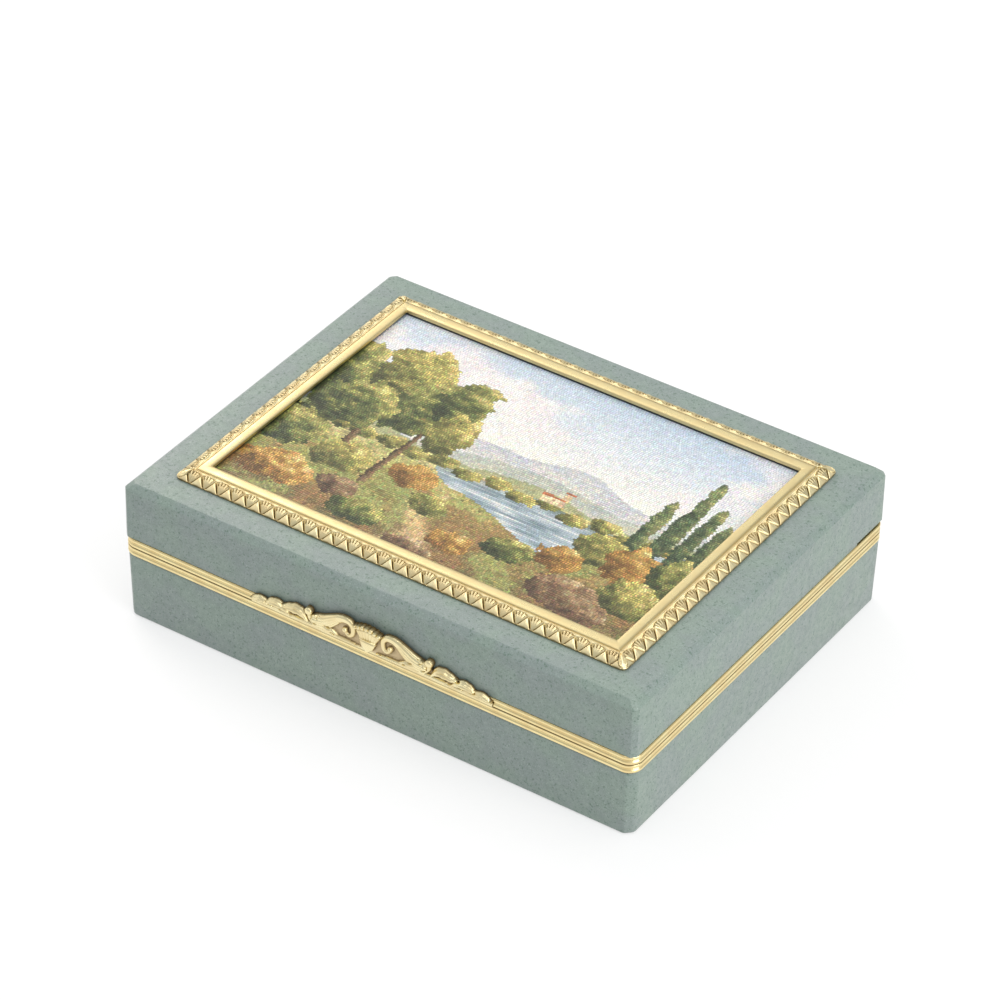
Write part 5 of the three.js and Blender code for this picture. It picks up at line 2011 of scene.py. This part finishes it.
@dataclass
class MosaicPanel:
    """Thousands of small glass blocks on the mastic, laid in rows in the sky and in strokes in the leaves."""

    row: float = 0.4
    step: float = 0.44
    fill: float = 0.9
    block_height: float = 0.5
    wax_drop: float = 0.05
    taper: float = 0.05
    margin: float = 0.26
    sunk: float = 0.02
    warmth: tuple[float, float, float] = (1.18, 1.1, 1.02)
    wave: float = 0.9
    wave_size: float = 3.2
    jitter: Pair = (0.5, 0.06)
    leaf_turn: float = 1.1
    wobble: float = 0.035
    tilt: float = 0.012
    spreads: tuple[float, float, float] = (0.06, 0.1, 0.2)
    clump_size: float = 0.8
    clump_contrast: float = 0.9
    tint_range: Pair = (0.01, 0.92)
    near_top: float = 0.3
    far_top: float = 0.62
    wax_edge: float = 0.4
    wax_shades: Pair = (0.2, 0.62)
    wax_grid: tuple[int, int] = (180, 130)
    seed: int = 23

    def places(self, half_x: float, half_y: float, landscape: Landscape) -> dict[str, Array]:
        """Where every block stands, how it lies and its colour.

        Args:
            half_x: Half the panel's width.
            half_y: Half its depth.
            landscape: What it shows.

        Returns:
            Arrays by name, with a row for each block.
        """
        rng = np.random.default_rng(self.seed)
        rows = np.arange(-half_y, half_y, self.row) + self.row / 2
        columns = np.arange(-half_x, half_x, self.step) + self.step / 2
        x, y = np.meshgrid(columns, rows)
        by_row, by_block = self.jitter
        x = x + rng.uniform(-by_row, by_row, (len(rows), 1)) * self.step
        x = x + rng.uniform(-by_block, by_block, x.shape) * self.step
        x, y = x.ravel(), y.ravel()
        region = landscape.paint(x, y).region
        sway = np.array([kind.sway for kind in Region])[region]
        noise, size = landscape.noise, self.wave_size
        y = y + sway * (noise.at(x, y, size) - 0.5) * self.wave
        slope = (noise.at(x + 0.1, y, size) - noise.at(x - 0.1, y, size)) / 0.2
        turn = np.arctan(sway * slope * self.wave)
        leafy = region == Region.LEAVES.number
        turn = np.where(leafy, rng.uniform(-self.leaf_turn, self.leaf_turn, len(x)), turn)
        turn = turn + rng.normal(0, self.wobble, len(x))
        inside = np.abs(x) < half_x - self.margin - self.step / 2
        inside &= np.abs(y) < half_y - self.margin - self.row / 2
        x, y, turn, leafy = x[inside], y[inside], turn[inside], leafy[inside]
        painted = landscape.paint(x, y)
        flat = np.isin(painted.region, (Region.SKY.number, Region.WATER.number))
        hilly = painted.region == Region.HILL.number
        spread = np.select([flat, hilly], self.spreads[:2], self.spreads[2])[:, None]
        clump = self.clump_contrast * (leafy * (noise.at(x + 0.6 * y, 1.6 * y, self.clump_size) - 0.5))
        shade = (1 + spread * rng.normal(0, 1, (len(x), 1))) * (1 + clump[:, None]) * self.warmth
        drift = 1 + (0.02 + 0.3 * spread) * rng.normal(0, 1, (len(x), 3))
        tilt = rng.normal(0, self.tilt, (len(x), 2))
        girth = np.column_stack([
            self.fill * rng.uniform(0.9, 1.04, len(x)) * np.where(leafy, 0.86, 1),
            self.fill * rng.uniform(0.92, 1.04, len(x)) * np.where(leafy, 0.92, 1),
            np.ones(len(x)),
        ])
        tint = np.clip(painted.colour * shade * drift, *self.tint_range)
        return {"x": x, "y": y, "lean": np.column_stack([tilt, turn]), "girth": girth, "tint": tint}

    def build(self) -> None:
        """Makes the wax between the blocks and the blocks of sky, far ground and near ground."""
        low, (half_x, half_y, top) = extent("mosaic_tesserae")
        landscape = Landscape(half_x, half_y)
        made = self.places(half_x, half_y, landscape)
        tree = block_tree()
        share = (made["y"] / half_y + 1) / 2
        bands = {"sky": share > self.far_top, "far": (share <= self.far_top) & (share > self.near_top),
                 "near": share <= self.near_top}
        size = (self.step * MM, self.row * MM, self.block_height * MM)
        for name, chosen in bands.items():
            z = np.full(int(chosen.sum()), top - self.block_height / 2 - self.sunk)
            seed = MeshData(np.column_stack([made["x"][chosen], made["y"][chosen], z]), []).mesh(name)
            for key in ("lean", "girth", "tint"):
                keep(seed, key, made[key][chosen], key == "tint")
            values = {"Size": size, "Taper": self.taper, "Material": TesseraFinish().material()}
            blocks = piece(f"tesserae_{name}", tree.grow(seed, values))
            settle(blocks, Body.LID, "tesserae", "mosaic_tesserae")
        self.wax(landscape, half_x, half_y, low[2], top - self.wax_drop)

    def wax(self, landscape: Landscape, half_x: float, half_y: float, low: float, high: float) -> None:
        """The tinted wax that fills the joints between the blocks.

        Args:
            landscape: What tints it.
            half_x: Half the panel's width.
            half_y: Half its depth.
            low: The height of its underside.
            high: The height of its top.
        """
        across, up = (np.linspace(-half, half, count) for half, count in zip((half_x, half_y), self.wax_grid))
        x, y = np.meshgrid(across, up)
        inside = np.ones((len(up) - 1, len(across) - 1), dtype=bool)
        plate = Field(across, up, np.full(x.shape, high), {}, inside).plate(low + self.sunk)
        x, y = plate.vertices[:, 0], plate.vertices[:, 1]
        at_edge = np.minimum(half_x - np.abs(x), half_y - np.abs(y)) < self.wax_edge
        plate.values = {"tint": landscape.paint(x, y).colour * np.where(at_edge, *self.wax_shades)[:, None]}
        finish = TesseraFinish("joint_wax", polish=0.5)
        made = piece("joint_wax", plate.mesh("joint_wax", outward=True), finish)
        settle(made, Body.LID, "tesserae", "mosaic_tesserae")


@dataclass
class Studio:
    """A white floor and soft light, seen from the photograph's angle."""

    azimuth: float = math.radians(33.24222)
    elevation: float = math.radians(36.6664)
    roll: float = math.radians(1.38669)
    focal: float = 4887.7475
    unit: float = 0.09
    shift_x: float = 0.00641
    shift_y: float = -0.17501
    distance: float = 8.17975
    picture: int = 1000
    sensor: float = 36.0
    floor_size: float = 3.0
    room_colour: Row = (0.94, 0.97, 1, 1)
    room_strength: float = 0.6
    lamps: tuple = (
        ("softbox", (-0.4, 0.36, 0.72), 0.9, 1.3, (1, 0.99, 0.97)),
        ("overhead", (0.25, -0.15, 0.88), 0.8, 2.7, (1, 0.99, 0.97)),
        ("right", (0.8, -0.15, 0.35), 0.6, 3.3, (1, 0.99, 0.97)),
        ("back", (-0.46, 0.24, 0.35), 0.35, 1.1, (1, 0.9, 0.84)),
        ("left", (-0.8, -0.3, 0.45), 0.6, 0.4, (0.97, 0.98, 1)),
    )

    def camera(self) -> None:
        """Places the camera where the photograph was taken from."""
        a, e, r = self.azimuth, self.elevation, self.roll
        back = Vector((math.sin(a) * math.cos(e), -math.cos(a) * math.cos(e), math.sin(e)))
        level = Vector((math.cos(a), math.sin(a), 0))
        above = back.cross(level)
        right = math.cos(r) * level + math.sin(r) * above
        up = -math.sin(r) * level + math.cos(r) * above
        lens = bpy.data.cameras.new("camera")
        lens.sensor_width = self.sensor
        lens.lens = self.focal / self.picture * self.sensor
        made = placed("camera", lens)
        turn = Matrix((right, up, back)).transposed().to_4x4()
        place = self.unit * (-self.shift_x * right - self.shift_y * up + self.distance * back)
        made.matrix_world = Matrix.Translation(place) @ turn
        bpy.context.scene.camera = made

    def floor(self) -> None:
        """A white floor that keeps the box's shadow."""
        corners = self.floor_size / 2 / MM * np.array([(-1, -1, 0), (1, -1, 0), (1, 1, 0), (-1, 1, 0)])
        piece("floor", MeshData(corners, [(0, 1, 2, 3)]).mesh("floor"), PaperFinish())

    def world(self) -> None:
        """A soft grey room that the camera sees as white."""
        room = bpy.data.worlds.new("room")
        bpy.context.scene.world = room
        room.use_nodes = True
        tree = ShaderTree(room.node_tree)
        rays = tree.node("ShaderNodeLightPath").outputs
        seen = Value(tree, rays["Is Camera Ray"]) + rays["Is Transmission Ray"]
        dim, white = (
            tree.node("ShaderNodeBackground", None, {"Color": colour, "Strength": strength}).outputs[0]
            for colour, strength in ((self.room_colour, self.room_strength), (WHITE, 1.0))
        )
        mixed = tree.node("ShaderNodeMixShader", None, {0: seen, 1: dim, 2: white}).outputs[0]
        tree.node("ShaderNodeOutputWorld", None, {"Surface": mixed})

    @staticmethod
    def lamp(name: str, place: Sequence[float], size: float, power: float, colour: Colour) -> None:
        """Hangs a square soft lamp that faces the box.

        Args:
            name: Its name.
            place: Where it hangs, in metres.
            size: The length of its sides in metres.
            power: Its power in watts.
            colour: The colour of its light.
        """
        light = bpy.data.lights.new(name, "AREA")
        light.size = size
        light.energy = power
        light.color = colour
        made = placed(name, light)
        made.location = place
        made.rotation_euler = (Vector((0, 0, 0.01)) - Vector(place)).to_track_quat("-Z", "Y").to_euler()

    def build(self) -> None:
        """Makes the camera first, then the floor, the room and the lamps."""
        self.camera()
        self.floor()
        self.world()
        for row in self.lamps:
            self.lamp(*row)


def dress_nodes() -> None:
    """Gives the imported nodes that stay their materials."""
    for name, finish in [("mosaic_tray", CopperFinish()), ("mastic_bed", MasticFinish())]:
        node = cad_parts[name]
        for place in node.material_slots:
            place.material = finish.material()
        log.info("%s: dressed", name)


def main() -> None:
    """Builds the box and its studio in order."""
    logging.basicConfig(level=logging.INFO, format="%(name)s: %(message)s")
    bpy.context.scene.view_settings.view_transform = "Standard"
    Studio().build()
    plan = Plan.measured()
    Stones(plan).build()
    Rims(plan).build()
    Hinge(plan).build()
    MosaicFrame(plan).build()
    LeafBorder().build()
    MosaicPanel().build()
    Thumbpiece(plan).build()
    dress_nodes()


if __name__ == "__main__":
    main()
